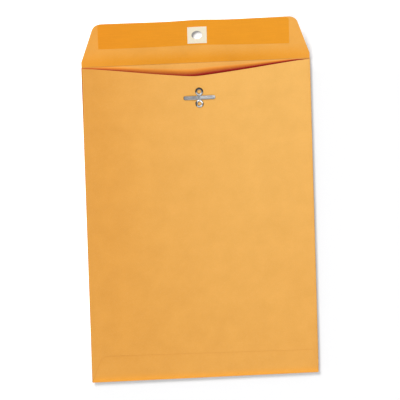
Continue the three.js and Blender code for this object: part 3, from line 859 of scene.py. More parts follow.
def effect_group(name, inputs, outputs):
    """An empty node group with its sockets, and its input and output nodes."""
    group = bpy.data.node_groups.new(name, "ShaderNodeTree")
    for socket, kind in inputs:
        group.interface.new_socket(socket, in_out="INPUT", socket_type=kind)
    for socket in outputs:
        group.interface.new_socket(socket, in_out="OUTPUT", socket_type="NodeSocketFloat")
    return group, group.nodes.new("NodeGroupInput"), group.nodes.new("NodeGroupOutput")


def put_out(group, put, **values):
    """Feeds values to a group's outputs of the same names, and gives the group."""
    for socket, value in values.items():
        group.links.new(value, put.inputs[socket])
    return group


def paper_grain():
    """Grain of paper at a place on the sheet: cloudy mottling, fibres in three directions,
    dark specks of bark, and the height of the surface."""
    name = "Paper grain"
    if name in bpy.data.node_groups:
        return bpy.data.node_groups[name]
    sockets = [("Place", "NodeSocketVector"), ("Fibre Length", "NodeSocketFloat")]
    group, given, put = effect_group(name, sockets, ["Mottle", "Fibres", "Specks", "Height"])
    place = given.outputs["Place"]
    cloud = noise(group, place, 55, 4, 0.6)
    fine = noise(group, place, 900, 3, 0.7)
    mottle = maths(group, "MULTIPLY_ADD", cloud, 0.7, maths(group, "MULTIPLY", fine, 0.3))
    unit = maths(group, "DIVIDE", FIBRE_LENGTH, given.outputs["Fibre Length"])
    fibres = None
    for turn, shift in ((0.15, 0.0), (1.2, 0.31), (-1.05, 0.67)):
        moved = vector_maths(group, "ADD", place, (shift, shift, 0))
        sized = wire(group, "ShaderNodeVectorMath", {0: moved, "Scale": unit}, operation="SCALE")
        streak = noise(group, stretched(group, sized.outputs[0], turn, 9, 1), 5200, 1, 0.5, 0.4)
        streak = ramp(group, streak, 0.62, 0.72)
        fibres = streak if fibres is None else maths(group, "MAXIMUM", fibres, streak)
    specks = ramp(group, noise(group, place, 1500, 1, 0.5), 0.735, 0.765)
    height = maths(group, "MULTIPLY_ADD", fibres, 0.35, maths(group, "MULTIPLY", fine, 0.65))
    return put_out(group, put, Mottle=mottle, Fibres=fibres, Specks=specks, Height=height)


def metal_wear():
    """Wear of thin rolled metal at a place: a soft haze, and fine scratches in two
    directions."""
    name = "Metal wear"
    if name in bpy.data.node_groups:
        return bpy.data.node_groups[name]
    group, given, put = effect_group(
        name, [("Place", "NodeSocketVector")], ["Haze", "Scratches", "Height"]
    )
    place = given.outputs["Place"]
    haze = noise(group, place, 420, 4, 0.6)
    rolled = noise(group, stretched(group, place, 0.05, 14, 1), 5200, 2, 0.6)
    crossed = noise(group, stretched(group, place, 0.9, 20, 1), 3800, 2, 0.6)
    crossed = ramp(group, crossed, 0.6, 0.72)
    scratches = maths(group, "MAXIMUM", ramp(group, rolled, 0.55, 0.75), crossed)
    dents = noise(group, place, 700, 2, 0.5)
    height = maths(group, "MULTIPLY_ADD", scratches, -0.12, dents)
    return put_out(group, put, Haze=haze, Scratches=scratches, Height=height)


def new_material(name):
    """A material with an empty tree, its shader and its output."""
    material = bpy.data.materials.new(name)
    material.use_nodes = True
    tree = material.node_tree
    tree.nodes.clear()
    shader = tree.nodes.new("ShaderNodeBsdfPrincipled")
    output = tree.nodes.new("ShaderNodeOutputMaterial")
    tree.links.new(shader.outputs[0], output.inputs["Surface"])
    return material, tree, shader


def paper_effect(tree, place):
    """The paper grain placed in a material."""
    inputs = {"Place": place, "Fibre Length": bpy.context.scene.envelope_sizes.fibre_length}
    return wire(tree, "ShaderNodeGroup", inputs, node_tree=paper_grain()).outputs


def finish(tree, shader, tint, rough, height, depth, strength):
    """Feeds the shader its colour and roughness, and a height as a relief of a depth in
    metres at a strength."""
    inputs = {"Height": height, "Distance": depth, "Strength": strength}
    tree.links.new(tint, shader.inputs["Base Color"])
    tree.links.new(rough, shader.inputs["Roughness"])
    tree.links.new(wire(tree, "ShaderNodeBump", inputs).outputs[0], shader.inputs["Normal"])


def mark(tree, name, output="Fac"):
    """A value that a piece carries at its points."""
    return wire(tree, "ShaderNodeAttribute", attribute_name=name).outputs[output]


def shade(tint, factor):
    """A colour times a factor, with full alpha."""
    return (*(factor * part for part in tint), 1.0)


def painted_light_share(tree):
    """Share of painted light that makes the paper paler towards its right and upper side."""
    place = wire(tree, "ShaderNodeTexCoord").outputs["Object"]
    axes = wire(tree, "ShaderNodeSeparateXYZ", {0: place}).outputs
    across = maths(tree, "MULTIPLY_ADD", axes["X"], TONE_CURVE, TONE_SLOPE)
    across = maths(tree, "MULTIPLY_ADD", across, axes["X"], TONE_MIDDLE)
    along = maths(tree, "MULTIPLY_ADD", axes["Y"], TONE_RISE, 1.0)
    return maths(tree, "MAXIMUM", maths(tree, "MULTIPLY", across, along), TONE_LEAST)


def clouded(tree, tint, share):
    """A tint with the paper's dark and light clouds, by a share."""
    cloud = blended(tree, share, (*DARK_CLOUD, 1), (*LIGHT_CLOUD, 1))
    return blended(tree, 1.0, tint, cloud, "MULTIPLY")


def turned_away(tree):
    """Share by which a face is turned too far from the sight for a painted shade."""
    facing = wire(tree, "ShaderNodeLayerWeight", {"Blend": 0.5}).outputs["Facing"]
    return ramp(tree, facing, *SHADE_TURN)


def sheet_tint(tree, colours):
    """The plain sheet's colour, with painted light that makes it a little paler towards the right.
    The inside mark brings in the flap's inside up to a half, and from there on a deeper tint, the
    painted shade by the crease. The warm mark brings the same tint in at the bottom fold."""
    tone, inside = painted_light_share(tree), mark(tree, "inside")
    tint = blended(tree, tone, shade(colours.kraft_shaded_left, 1), shade(colours.kraft_lit_right, 1))
    inner = blended(tree, tone, shade(colours.flap_shaded_left, 1), shade(colours.flap_lit_right, 1))
    tint = blended(tree, ramp(tree, inside, 0, 0.5), tint, inner)
    warm = maths(tree, "MAXIMUM", ramp(tree, inside, 0.5, 1), mark(tree, "warm"))
    return blended(tree, warm, tint, shade(colours.inside, 1))


def kraft_material():
    """Kraft paper: warm brown with mottling, fibres and bark specks, and painted light that pales
    it towards the right. Marks colour it inside the flap, and paint shade at folds, by the crease
    and, seen from above, down in the pocket's throat."""
    name = "Kraft paper"
    if name in bpy.data.materials:
        return bpy.data.materials[name]
    material, tree, shader = new_material(name)
    colours = bpy.context.scene.envelope_colours
    place = mark(tree, "sheet", "Vector")
    grain = paper_effect(tree, place)
    above = maths(tree, "SUBTRACT", 1.0, turned_away(tree))
    throat = maths(tree, "MULTIPLY", mark(tree, "open"), above)
    # Painted shade in the throat, seen from above only
    shaded = tint_steps(tree, mark(tree, "deep"), THROAT_TINTS)
    tint = blended(tree, throat, sheet_tint(tree, colours), shaded)
    tint = clouded(tree, tint, ramp(tree, grain["Mottle"], 0.3, 0.7))
    tint = laid_on(tree, tint, shade(FIBRE_TINT, 1), grain["Fibres"], 0.1)
    tint = laid_on(tree, tint, shade(colours.fold, 0.45), grain["Specks"], 0.25)
    # Painted shade along folds, the crease and rims
    tint = blended(tree, mark(tree, "fold"), tint, shade(colours.fold, 1))
    bounce = wire(tree, "ShaderNodeLightPath").outputs["Is Diffuse Ray"]
    tint = laid_on(tree, tint, shade(BOUNCE_TINT, 1), bounce, BOUNCE_SHARE)
    rough = ramp(tree, grain["Mottle"], 0.2, 0.8, 0.78, 0.9)
    finish(tree, shader, tint, rough, grain["Height"], 0.00003, 0.6)
    shader.inputs["Specular IOR Level"].default_value = 0.12
    return material


def gum_material():
    """Dried gum on kraft: deeper and shinier than the paper, with thin streaks along the
    band where the roller left more or less of it."""
    material, tree, shader = new_material("Dried gum")
    colours = bpy.context.scene.envelope_colours
    place = mark(tree, "sheet", "Vector")
    grain = paper_effect(tree, place)
    streaks = noise(tree, stretched(tree, place, 0, 12, 1), 700, 3, 0.6)
    film = ramp(tree, maths(tree, "ADD", streaks, grain["Mottle"]), 0.8, 1.2, 0.25, 0.75)
    # Painted light: the gum pales to the right, as the kraft does
    tint = blended(tree, painted_light_share(tree), shade(colours.gum_shaded_left, 1), shade(colours.gum_lit_right, 1))
    tint = clouded(tree, tint, film)
    tint = laid_on(tree, tint, shade(colours.fold, 0.5), grain["Specks"], 0.2)
    height = maths(tree, "MULTIPLY_ADD", grain["Height"], 0.5, streaks)
    finish(tree, shader, tint, ramp(tree, film, 0, 1, 0.34, 0.5), height, 0.00002, 0.3)
    shader.inputs["Specular IOR Level"].default_value = 0.2
    return material


def patch_material():
    """Smooth cream card with faint fibres."""
    material, tree, shader = new_material("Cream card")
    colours = bpy.context.scene.envelope_colours
    grain = paper_effect(tree, mark(tree, "sheet", "Vector"))
    cloud = ramp(tree, grain["Mottle"], 0.3, 0.7)
    tint = blended(tree, cloud, shade(colours.patch, 0.99), shade(colours.patch, 1.02))
    tint = laid_on(tree, tint, shade(colours.patch, 0.88), grain["Fibres"], 0.1)
    rough = ramp(tree, grain["Mottle"], 0.2, 0.8, 0.7, 0.85)
    finish(tree, shader, tint, rough, grain["Height"], 0.00002, 0.4)
    shader.inputs["Specular IOR Level"].default_value = 0.6
    return material


def ring_arcs(tree, place, arcs):
    """Share of painted arcs on the clasp's two rings, by distance from a ring's centre and by reach
    in a direction: dark reflections from one table, highlights from the other."""
    share = None
    for side, aim, (middle, half), reach in arcs:
        centre = on_clasp(np.array([[0, side * RING_PITCH / 2, PLATE_TOP]]))[0] * MM
        arm = vector_maths(tree, "SUBTRACT", place, tuple(centre))
        off = maths(tree, "SUBTRACT", vector_maths(tree, "LENGTH", arm), middle * MM)
        off = maths(tree, "ABSOLUTE", off)
        along = vector_maths(tree, "DOT_PRODUCT", arm, (*aim, 0.0))
        band = ramp(tree, off, ARC_CORE * half * MM, half * MM, 1, 0)
        come = ramp(tree, along, *(limit * MM for limit in reach))
        arc = maths(tree, "MULTIPLY", band, come)
        share = arc if share is None else maths(tree, "MAXIMUM", share, arc)
    return share


def tinplate_material():
    """Bright tinplate with haze and fine scratches, and painted dark reflections and painted
    highlights in the rings' arcs and where the prongs' marks have them. Where painted dark, it is
    not metal."""
    name = "Tinplate"
    if name in bpy.data.materials:
        return bpy.data.materials[name]
    material, tree, shader = new_material(name)
    colours = bpy.context.scene.envelope_colours
    place = wire(tree, "ShaderNodeTexCoord").outputs["Object"]
    wear = wire(tree, "ShaderNodeGroup", {"Place": place}, node_tree=metal_wear()).outputs
    haze = ramp(tree, wear["Haze"], 0.3, 0.7)
    tint = blended(tree, haze, shade(colours.tinplate, 0.88), shade(colours.tinplate, 1.1))
    dark = maths(tree, "MAXIMUM", mark(tree, "painted_dark"), ring_arcs(tree, place, PAINTED_DARK_ARCS))
    bright = maths(tree, "MAXIMUM", mark(tree, "painted_highlight"), ring_arcs(tree, place, PAINTED_HIGHLIGHT_ARCS))
    # Painted dark reflections and painted highlights on the metal
    tint = blended(tree, dark, tint, shade(colours.tinplate, 0.05))
    tint = blended(tree, bright, tint, shade(colours.painted_highlight, 1))
    rough = ramp(tree, haze, 0, 1, 0.24, 0.38)
    rough = maths(tree, "MULTIPLY_ADD", wear["Scratches"], 0.12, rough)
    rough = maths(tree, "MAXIMUM", rough, maths(tree, "MULTIPLY", dark, 0.8))
    finish(tree, shader, tint, rough, wear["Height"], 0.00002, 0.5)
    tree.links.new(maths(tree, "SUBTRACT", 1.0, dark), shader.inputs["Metallic"])
    return material


def glue_material():
    """Dried glue: a thin clouded film with drag marks."""
    material, tree, shader = new_material("Dried glue")
    colours = bpy.context.scene.envelope_colours
    place = wire(tree, "ShaderNodeTexCoord").outputs["Object"]
    cloud = noise(tree, place, 300, 4, 0.6)
    drag = noise(tree, stretched(tree, place, 0, 1, 15), 900, 2, 0.6)
    tint = blended(tree, cloud, shade(colours.glue, 0.85), shade(colours.glue, 1.1))
    finish(tree, shader, tint, ramp(tree, drag, 0.3, 0.7, 0.35, 0.6), drag, 0.00002, 0.5)
    return material


def lean(distance):
    """Sideways drift of the flap at a distance from the crease."""
    return FLAP_LEAN * np.maximum(distance, 0) / FLAP_LENGTH


def flap_angle(x):
    """Angle of the flap above the table across its width: raised, with a gentle sway over
    the whole of it, and a narrow hump through the hole."""
    sizes = bpy.context.scene.envelope_sizes
    sway = sizes.flap_sway * bell(x, 0, SWAY_HALF)
    return FLAP_RAISED + sway - sizes.flap_hump * bell(x, HUMP_X, HUMP_HALF)


def flap_wave(x, distance):
    """Waves that grow towards the free edge: two sines across the flap."""
    share = np.maximum(distance, 0) / FLAP_LENGTH
    return WAVE * share**2 * (np.sin(x / 21 + 1.1) + 0.4 * np.sin(x / 9.5))


def flap_point(x, distance, height, bend=1.0):
    """A point of the flap: part of the way round the crease's arc, then a straight distance
    out along the flap, at a height over its inside face."""
    angle = bend * flap_angle(x)
    radius = CREASE_TURN - PAPER - height - flap_wave(x, distance)
    y = CREASE_Y + radius * np.sin(angle) + distance * np.cos(angle)
    z = CREASE_TURN - radius * np.cos(angle) + distance * np.sin(angle)
    return np.stack([x + lean(distance), y, z], 1)


def closure_flap_sheet():
    """The closure flap: a stub level with the address panel, the crease's arc, and the flap
    with its tapered sides, rounded corners and round hole."""
    height = FLAP_LENGTH - FLAP_SIDE_RISE
    sides = FLAP_SIDE_RISE + corner_rows(height, FLAP_TAPER, FLAP_CORNER, 22, 12)
    root = np.concatenate([np.linspace(-2, 0, 11), np.linspace(0, 0.9, 10)[1:], [1.6, 2.8, 4]])
    half = WIDTH / 2 - LEFT_TURN
    points, quads = flap_grid(np.linspace(-half, half, 101), np.concatenate([root, sides]))
    row = points[:, 1]
    bend = np.clip(row + 1, 0, 1)
    stub = (CREASE_TURN + CREASE_GAP) * np.minimum(row + 1, 0)
    distance = np.maximum(row, 0) + stub
    inset = corner_inset(row - FLAP_SIDE_RISE, height, FLAP_TAPER, FLAP_CORNER)
    x = spread(points[:, 0], FLAP_CORE, half, inset - half, half - inset)
    inside = flap_point(x, distance, 0, bend)
    outside = flap_point(x, distance, -PAPER, bend)
    solid, faces, origin = thicken(inside, outside, quads)
    # Painted shade in the crease
    strength, fold_half = CREASE_SHADE
    fold = strength * bell(distance + CREASE_ROLL * bend, CREASE_PLACE, fold_half)
    # Painted shade of the flap's bend, deepest by the crease and in the middle
    deep = BEND_SHADE_MIDDLE - BEND_SHADE_FALL * (x / half) ** 2
    deep = np.minimum((1 - smoothstep(distance, *BEND_SHADE_RUN)) * deep, 1)
    inside_and_bend_shade = (0.5 + 0.5 * deep) * smoothstep(distance, *INSIDE_START)
    inner_face = np.arange(len(origin)) < len(origin) / 2
    piece = add_paper(
        "closure_flap_sheet",
        None,
        solid,
        faces,
        ["closure_flap"],
        x[origin],
        (CREASE_Y + distance)[origin],
        fold=fold[origin],
        inside=inside_and_bend_shade[origin] * inner_face,
    )
    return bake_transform(piece)


def add_film(name, material, slot, replaced, x, distance, quads, bottom, thickness):
    """Adds a layer that lies at a height over the flap's inside and rides the flap."""
    top = flap_point(x, distance, bottom + thickness)
    solid, faces, origin = thicken(top, flap_point(x, distance, bottom), quads)
    marks = {"sheet": sheet_place(x[origin], distance[origin])}
    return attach(add_piece(name, solid, faces, material, [replaced], marks), "flap")


def gum_band():
    """The gummed band: a thin film on the flap, round the hole, with a slanted lower edge and
    two rounded corners by the flap's free edge."""
    start = (GUM_START_LEFT + GUM_START_RIGHT) / 2
    height = FLAP_LENGTH - GUM_EDGE - start
    along = start + corner_rows(height, 0, GUM_CORNER, 14, 6)
    points, quads = flap_grid(np.linspace(-GUM_HALF, GUM_HALF, 85), along)
    inset = corner_inset(points[:, 1] - start, height, 0, GUM_CORNER)
    ends = GUM_X - GUM_HALF + inset, GUM_X + GUM_HALF - inset
    x = spread(points[:, 0], GUM_HALF - GUM_SIDE_RUN, GUM_HALF, *ends)
    slope = (GUM_START_RIGHT - GUM_START_LEFT) / (2 * GUM_HALF)
    shift = slope * x + GUM_BOW * bell(x, 0, GUM_BOW_HALF)
    low = np.maximum(1 - (points[:, 1] - start) / GUM_SLANT_RUN, 0)
    place = x, points[:, 1] + shift * low
    layer = GUM_BOND, GUM_FILM
    return add_film("gum_band", gum_material(), "flap_gum", "flap_gum_strip", *place, quads, *layer)


def hole_patch():
    """The patch that strengthens the hole: a square of thin card with a round hole."""
    sides = np.array([-0.5, 0.5])
    across = HOLE_X + PATCH_SHIFT + sides * PATCH_WIDTH
    points, quads = flap_grid(across, HOLE_DISTANCE + sides * PATCH_LENGTH)
    layer = PATCH_BOTTOM, PATCH
    material = patch_material()
    return add_film(
        "hole_patch", material, "patch_card", "flap_hole_patch", *points.T, quads, *layer
    )


def on_clasp(points):
    """Points from the clasp's own axes to the frame's: leant about X and set on the crown."""
    y = CREASE_Y - CLASP_DISTANCE
    place = (CLASP_X, y, PANEL_TOP + (y - MOUTH_HINGE_Y) * MOUTH_SLOPE)
    return points @ np.array(Matrix.Rotation(MOUTH_ANGLE, 3, "X")).T + np.array(place)


def eyelet_profile():
    """Half section of an eyelet, as radii and heights: a head crowned by a sine to a power, the
    barrel's bore, the clinched rim turned out under the paper, and back up outside."""
    arch = np.linspace(0, math.pi, 25)
    head = PLATE_TOP + SEAT
    middle, half = (HEAD_RADIUS + BARREL_BORE) / 2, (HEAD_RADIUS - BARREL_BORE) / 2
    dome = HEAD_HEIGHT * np.sin(arch) ** HEAD_POWER
    crown = np.stack([middle + half * np.cos(arch), head + dome], 1)
    curl = CLINCH_THICKNESS / 2
    rim = -PAPER - SEAT - curl
    turn = np.linspace(-math.pi / 2, math.pi / 2, 7)
    flare = np.stack([CLINCH_RADIUS - curl + curl * np.cos(turn), rim + curl * np.sin(turn)], 1)
    bore = [(BARREL_BORE, 0), (BARREL_BORE, rim), (BARREL_BORE + curl, rim - curl)]
    barrel = [(BARREL_RADIUS, rim + curl), (BARREL_RADIUS, head)]
    return np.concatenate([crown, bore, flare, barrel])


def eyelet_piece(name, replaced, along):
    """An eyelet: its half section carried round its axis."""
    profile = eyelet_profile()
    turns = np.linspace(-math.pi, math.pi, 97)[:-1]
    turn, radius = np.meshgrid(turns, profile[:, 0], indexing="ij")
    height = np.broadcast_to(profile[:, 1], radius.shape)
    rings = np.stack([radius * np.cos(turn), along + radius * np.sin(turn), height], -1)
    points, quads = sweep(rings, closed=True)
    piece = add_piece(
        name, on_clasp(points), quads, tinplate_material(), [replaced], sharp=60
    )
    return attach(piece, "clasp")


def paper_disc(name, replaced, along):
    """The disc of paper that an eyelet keeps in its barrel, pushed up a little in the middle."""
    points, quads = disc_grid(BARREL_BORE - DISC_PLAY, 13)
    crown = DISC_CROWN * (1 - (points**2).sum(1) / BARREL_BORE**2)
    top = np.stack([points[:, 0], points[:, 1] + along, crown], 1)
    solid, faces, origin = thicken(top, top - [0, 0, PAPER], quads)
    x, y = points[origin].T
    place = x + DISC_GRAIN, y + along
    return add_paper(name, "clasp", on_clasp(solid), faces, [replaced], *place)


def prong_line(reach):
    """Middle line of a prong in the plane of X and Z, with the distance past the knuckle: a
    roll round the bend line, and a tongue that bows up a little and droops at its tip."""
    roll = KNUCKLE_RADIUS - METAL / 2
    turns = np.radians(np.linspace(*KNUCKLE_SWEEP, 19))[:-1]
    curl = np.stack([np.cos(turns), np.sin(turns)], 1) * roll
    length = reach - KNUCKLE_X
    tip = length + PRONG_TIP_RADIUS * (np.sin(np.linspace(0, math.pi / 2, 14)) - 1)
    along = np.concatenate([np.linspace(0, length - PRONG_TIP_RADIUS, 61)[:-1], tip])
    share = along / length
    bow = PRONG_BOW * np.sin(math.pi * share) - PRONG_DROOP * share
    rise = bow + roll * (1 - smoothstep(along, 0, KNUCKLE_RUN))
    line = np.concatenate([curl, np.stack([along, rise], 1)])
    past = np.concatenate([0 * turns - 1, along])
    return line + [KNUCKLE_X, KNUCKLE_Z], past


def prong_piece(name, reach, direction, bead, marks, bead_end):
    """A prong: a flat section with rounded edges, carried along its middle line. The bead is
    pressed up through the section as a function of the place across it."""
    line, past = prong_line(reach)
    ahead = np.gradient(line, axis=0)
    ahead /= np.linalg.norm(ahead, axis=1, keepdims=True)
    up = np.stack([-ahead[:, 1], ahead[:, 0]], 1)
    length = reach - KNUCKLE_X
    short = np.clip(PRONG_TIP_RADIUS - (length - past), 0, PRONG_TIP_RADIUS - 0.02)
    corner = PRONG_TIP_RADIUS - np.sqrt(PRONG_TIP_RADIUS**2 - short**2)
    width = np.where(past < 0, BRIDGE_LENGTH / 2, PRONG_WIDTH / 2 - corner)
    neck = (past >= 0) * (1 - smoothstep(past, 0, NECK_RUN))
    width = width - (PRONG_WIDTH - BRIDGE_LENGTH) / 2 * neck
    edge = np.linspace(-math.pi / 2, math.pi / 2, 9)[1:-1]
    flat = np.linspace(-1, 1, 33)
    across = np.concatenate([flat, 1 + 0 * edge, flat[::-1], -1 + 0 * edge])
    level = np.concatenate([1 + 0 * flat, np.sin(-edge), -1 + 0 * flat, np.sin(edge)])
    proud = np.concatenate([0 * flat, np.cos(edge), 0 * flat, -np.cos(edge)])
    thin = METAL / 2
    y = across * (width[:, None] - thin) + proud * thin
    fade = smoothstep(past, *BEAD_START) * smoothstep(length - past, *bead_end)
    offset = level * thin + fade[:, None] * bead(y, past[:, None])
    x = line[:, :1] + up[:, :1] * offset
    z = line[:, 1:] + up[:, 1:] * offset
    points, quads = sweep(np.stack([x, y, z], -1))
    if direction < 0:
        points = points * [-1, -1, 1]
    marked = marks(y, past[:, None] + 0 * y, length)
    piece = add_piece(
        f"{name}_tongue",
        on_clasp(points),
        quads,
        tinplate_material(),
        [name],
        {label: values.ravel() for label, values in marked.items()},
        sharp=60,
    )
    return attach(piece, name)


def right_bead(y, past):
    """One rounded bead that wanders a little: a cosine bell across the prong."""
    side = np.clip((y - 0.1 * np.sin(past * 1.1)) / RIGHT_BEAD_HALF, -1, 1)
    return PRONG_BEAD * (1 + np.cos(math.pi * side)) / 2


def left_bead(y, past):
    """Two low ridges with a groove between them: a squared sine across the prong."""
    side = np.clip(y / LEFT_BEAD_HALF, -1, 1)
    return PRONG_BEAD * LEFT_BEAD_LEVEL * np.sin(math.pi * side) ** 2


def right_marks(y, past, length):
    """The right prong has a painted highlight on its upper half by the tip, and painted shade
    along its lower edge, with a little all over."""
    dark = 0.07 + 0.38 * smoothstep(-y, 0.45, 1.15)
    tip = 0.35 * bell(past, length - 1.4, 1.0) * bell(y, 0.7, 0.6)
    return {"painted_dark": dark, "painted_highlight": tip}


def left_marks(y, past, length):
    """The left prong is painted darker all over, most so half way along its groove and at its tip.
    """
    dark = 0.34 + 0.14 * bell(past, 0.4 * length, 2.5) * bell(y, 0, 0.5)
    dark = dark + 0.18 * smoothstep(past, length - 5, length - 2)
    return {"painted_dark": dark + 0.4 * smoothstep(past, length - 0.9, length - 0.2)}


def floor_light(tree, place, drop):
    """The floor's glow to the camera, and the share of it that lies outside the shade under
    the flap's hole: a ring round the spot of light, which shows from above only."""
    reach = vector_maths(tree, "DOT_PRODUCT", place, GLOW_AIM)
    glow = ramp(tree, reach, *GLOW_RUN, *FLOOR_GLOW)
    along = wire(tree, "ShaderNodeSeparateXYZ", {0: place}).outputs["Y"]
    glow = maths(tree, "MAXIMUM", glow, ramp(tree, along, *UPPER_RUN, *UPPER_GLOW))
    away = vector_maths(tree, "DISTANCE", place, (*HOLE_SPOT, -drop))
    spot, past = (ramp(tree, away, *run) for run in (HOLE_SPOT_EDGE, HOLE_SHADE_EDGE))
    lit = maths(tree, "MAXIMUM", maths(tree, "ADD", spot, past), turned_away(tree))
    return maths(tree, "MULTIPLY", glow, lit), lit


def floor():
    """The floor: a large pale plane under the envelope. It keeps the envelope's shadow, and a
    faint glow that only the camera sees brings the rest of it up to white."""
    drop = bpy.context.scene.envelope_sizes.floor_drop
    sides = ((-1, -1), (1, -1), (1, 1), (-1, 1))
    corners = [(x * FLOOR_HALF, y * FLOOR_HALF, -drop) for x, y in sides]
    mesh = bpy.data.meshes.new("floor")
    mesh.from_pydata(corners, [], [(0, 1, 2, 3)])
    material, tree, shader = new_material("Floor")
    tint = bpy.context.scene.envelope_colours.floor
    place = wire(tree, "ShaderNodeTexCoord").outputs["Object"]
    level, lit = floor_light(tree, place, drop)
    pale = blended(tree, noise(tree, place, 3, 2), shade(tint, 0.995), shade(tint, 1.0))
    tint = blended(tree, lit, shade(tint, HOLE_SHADE), pale)
    tree.links.new(tint, shader.inputs["Base Color"])
    shader.inputs["Roughness"].default_value = 0.9
    shader.inputs["Specular IOR Level"].default_value = 0.0
    seen = wire(tree, "ShaderNodeLightPath").outputs["Is Camera Ray"]
    glow = wire(tree, "ShaderNodeEmission", {"Strength": maths(tree, "MULTIPLY", seen, level)})
    both = wire(tree, "ShaderNodeAddShader", {0: shader.outputs[0], 1: glow.outputs[0]})
    output = next(node for node in tree.nodes if node.type == "OUTPUT_MATERIAL")
    tree.links.new(both.outputs[0], output.inputs["Surface"])
    mesh.materials.append(material)
    plane = bpy.data.objects.new("floor", mesh)
    bpy.context.scene.collection.objects.link(plane)


def surroundings():
    """The world: plain white to the camera, in metal and through holes, and a softer grey as
    the light that falls on the paper from all round."""
    world = bpy.data.worlds.new("Surroundings")
    world.use_nodes = True
    tree = world.node_tree
    tree.nodes.clear()
    path = wire(tree, "ShaderNodeLightPath").outputs
    plain = maths(tree, "MAXIMUM", path["Is Camera Ray"], path["Is Glossy Ray"])
    plain = maths(tree, "MAXIMUM", plain, path["Is Transmission Ray"])
    soft = wire(tree, "ShaderNodeBackground", {"Color": (1, 1, 1, 1), "Strength": AMBIENT})
    white = wire(tree, "ShaderNodeBackground", {"Color": (1, 1, 1, 1), "Strength": 1.0})
    mixed = wire(tree, "ShaderNodeMixShader", {0: plain, 1: soft.outputs[0], 2: white.outputs[0]})
    output = tree.nodes.new("ShaderNodeOutputWorld")
    tree.links.new(mixed.outputs[0], output.inputs["Surface"])
    bpy.context.scene.world = world


def sun(name, azimuth, elevation, level, spread_angle):
    """A soft distant lamp. Its level is the brightness that it gives a level white sheet, and
    its azimuth is where it stands, counted counterclockwise from +X."""
    lamp = bpy.data.lights.new(name, "SUN")
    lamp.energy = level * math.pi / math.sin(math.radians(elevation))
    lamp.angle = math.radians(spread_angle)
    holder = bpy.data.objects.new(name, lamp)
    turn, lift = math.radians(azimuth), math.radians(elevation)
    towards = (math.cos(turn) * math.cos(lift), math.sin(turn) * math.cos(lift), math.sin(lift))
    holder.rotation_euler = Vector(towards).to_track_quat("Z", "Y").to_euler()
    holder.location = towards
    bpy.context.scene.collection.objects.link(holder)


def camera():
    """The camera, fitted to the picture: its turn is a rotation vector from axes that look
    down at the table to the camera's right, down and forward."""
    lens = bpy.data.cameras.new("camera")
    lens.sensor_width = SENSOR
    lens.lens = CAMERA_FOCUS / PICTURE * SENSOR
    lens.clip_start = 0.1
    lens.clip_end = 100.0
    turn = Vector(CAMERA_TURN)
    axes = Matrix.Rotation(turn.length, 3, turn.normalized()) @ Matrix.Diagonal((1, -1, -1))
    pose = Matrix((axes[0], -axes[1], -axes[2])).transposed().to_4x4()
    pose.translation = Vector(CAMERA_PLACE) * MM
    holder = bpy.data.objects.new("camera", lens)
    holder.matrix_world = pose
    bpy.context.scene.collection.objects.link(holder)
    bpy.context.scene.camera = holder


def finish_node(name, material):
    """Gives a material to a node of the frame that is seen as it is."""
    materials = frame["nodes"][name].data.materials
    materials.clear()
    materials.append(material)


class ENVELOPE_OT_address_sheet(bpy.types.Operator):
    """Make the address panel with the left fold and the side seam strip"""

    bl_idname = "envelope.address_sheet"
    bl_label = "Address panel"

    def execute(self, context):
        address_sheet()
        return {"FINISHED"}


class ENVELOPE_OT_bottom_flap(bpy.types.Operator):
    """Make the bottom fold and its glued flap"""

    bl_idname = "envelope.bottom_flap"
    bl_label = "Bottom flap"

    def execute(self, context):
        bottom_flap_sheet()
        return {"FINISHED"}


class ENVELOPE_OT_clasp_panel(bpy.types.Operator):
    """Make the clasp panel with its throat and the holes for the eyelets"""

    bl_idname = "envelope.clasp_panel"
    bl_label = "Clasp panel"

    def execute(self, context):
        clasp_panel_sheets()
        return {"FINISHED"}


class ENVELOPE_OT_closure_flap(bpy.types.Operator):
    """Make the closure flap with its crease"""

    bl_idname = "envelope.closure_flap"
    bl_label = "Closure flap"

    def execute(self, context):
        closure_flap_sheet()
        return {"FINISHED"}


class ENVELOPE_OT_gum_and_patch(bpy.types.Operator):
    """Make the gummed band and the patch round the flap's hole"""

    bl_idname = "envelope.gum_and_patch"
    bl_label = "Gum and patch"

    def execute(self, context):
        gum_band()
        hole_patch()
        return {"FINISHED"}


class ENVELOPE_OT_eyelets(bpy.types.Operator):
    """Make the two eyelets with their paper discs, and finish the clasp's plate"""

    bl_idname = "envelope.eyelets"
    bl_label = "Eyelets"

    def execute(self, context):
        finish_node("clasp_plate", tinplate_material())
        for name, along in (("upper", RING_PITCH / 2), ("lower", -RING_PITCH / 2)):
            eyelet_piece(f"{name}_eyelet_ring", f"{name}_eyelet", along)
            paper_disc(f"{name}_punched_disc", f"{name}_paper_disc", along)
        return {"FINISHED"}


class ENVELOPE_OT_prongs(bpy.types.Operator):
    """Make the clasp's two bendable prongs"""

    bl_idname = "envelope.prongs"
    bl_label = "Prongs"

    def execute(self, context):
        left, right = (left_bead, left_marks), (right_bead, right_marks)
        prong_piece("left_prong", PRONG_LEFT_REACH, -1, *left, LEFT_BEAD_END)
        prong_piece("right_prong", PRONG_RIGHT_REACH, 1, *right, RIGHT_BEAD_END)
        return {"FINISHED"}


class ENVELOPE_OT_glue(bpy.types.Operator):
    """Finish the lines of glue inside the two seams"""

    bl_idname = "envelope.glue"
    bl_label = "Glue"

    def execute(self, context):
        material = glue_material()
        for name in ("side_seam_glue", "bottom_seam_glue"):
            finish_node(name, material)
        return {"FINISHED"}


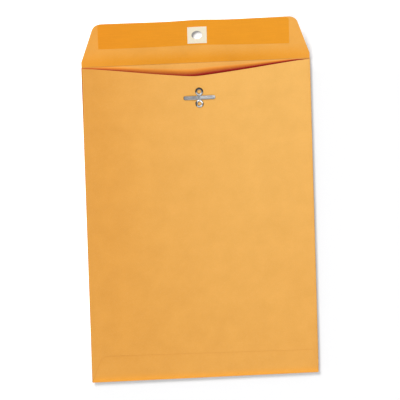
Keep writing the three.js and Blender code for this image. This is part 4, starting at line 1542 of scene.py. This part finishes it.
class ENVELOPE_OT_stage(bpy.types.Operator):
    """Make the floor, the light and the camera"""

    bl_idname = "envelope.stage"
    bl_label = "Stage"

    def execute(self, context):
        context.scene.view_settings.view_transform = "Standard"
        floor()
        surroundings()
        for lamp in LAMPS:
            sun(*lamp)
        camera()
        return {"FINISHED"}


OPERATORS = (
    ENVELOPE_OT_address_sheet,
    ENVELOPE_OT_bottom_flap,
    ENVELOPE_OT_clasp_panel,
    ENVELOPE_OT_closure_flap,
    ENVELOPE_OT_gum_and_patch,
    ENVELOPE_OT_eyelets,
    ENVELOPE_OT_prongs,
    ENVELOPE_OT_glue,
    ENVELOPE_OT_stage,
)


class ENVELOPE_PT_panel(bpy.types.Panel):
    """Sizes, colours and pieces of the envelope"""

    bl_idname = "ENVELOPE_PT_panel"
    bl_label = "Clasp envelope"
    bl_space_type = "VIEW_3D"
    bl_region_type = "UI"
    bl_category = "Envelope"

    def draw(self, context):
        for group in (context.scene.envelope_sizes, context.scene.envelope_colours):
            for name in group.__annotations__:
                self.layout.prop(group, name)
        for operator in OPERATORS:
            self.layout.operator(operator.bl_idname)


CLASSES = (EnvelopeSizes, EnvelopeColours, *OPERATORS, ENVELOPE_PT_panel)


def register():
    """Registers the classes, and gives the scene its sizes and colours."""
    for item in CLASSES:
        bpy.utils.register_class(item)
    bpy.types.Scene.envelope_sizes = PointerProperty(type=EnvelopeSizes)
    bpy.types.Scene.envelope_colours = PointerProperty(type=EnvelopeColours)


def unregister():
    """Takes away what register added."""
    del bpy.types.Scene.envelope_colours
    del bpy.types.Scene.envelope_sizes
    for item in reversed(CLASSES):
        bpy.utils.unregister_class(item)


def main():
    """Registers the add-on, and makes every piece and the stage."""
    register()
    bpy.ops.envelope.address_sheet()
    bpy.ops.envelope.bottom_flap()
    bpy.ops.envelope.clasp_panel()
    bpy.ops.envelope.closure_flap()
    bpy.ops.envelope.gum_and_patch()
    bpy.ops.envelope.eyelets()
    bpy.ops.envelope.prongs()
    bpy.ops.envelope.glue()
    bpy.ops.envelope.stage()


if __name__ == "__main__":
    main()
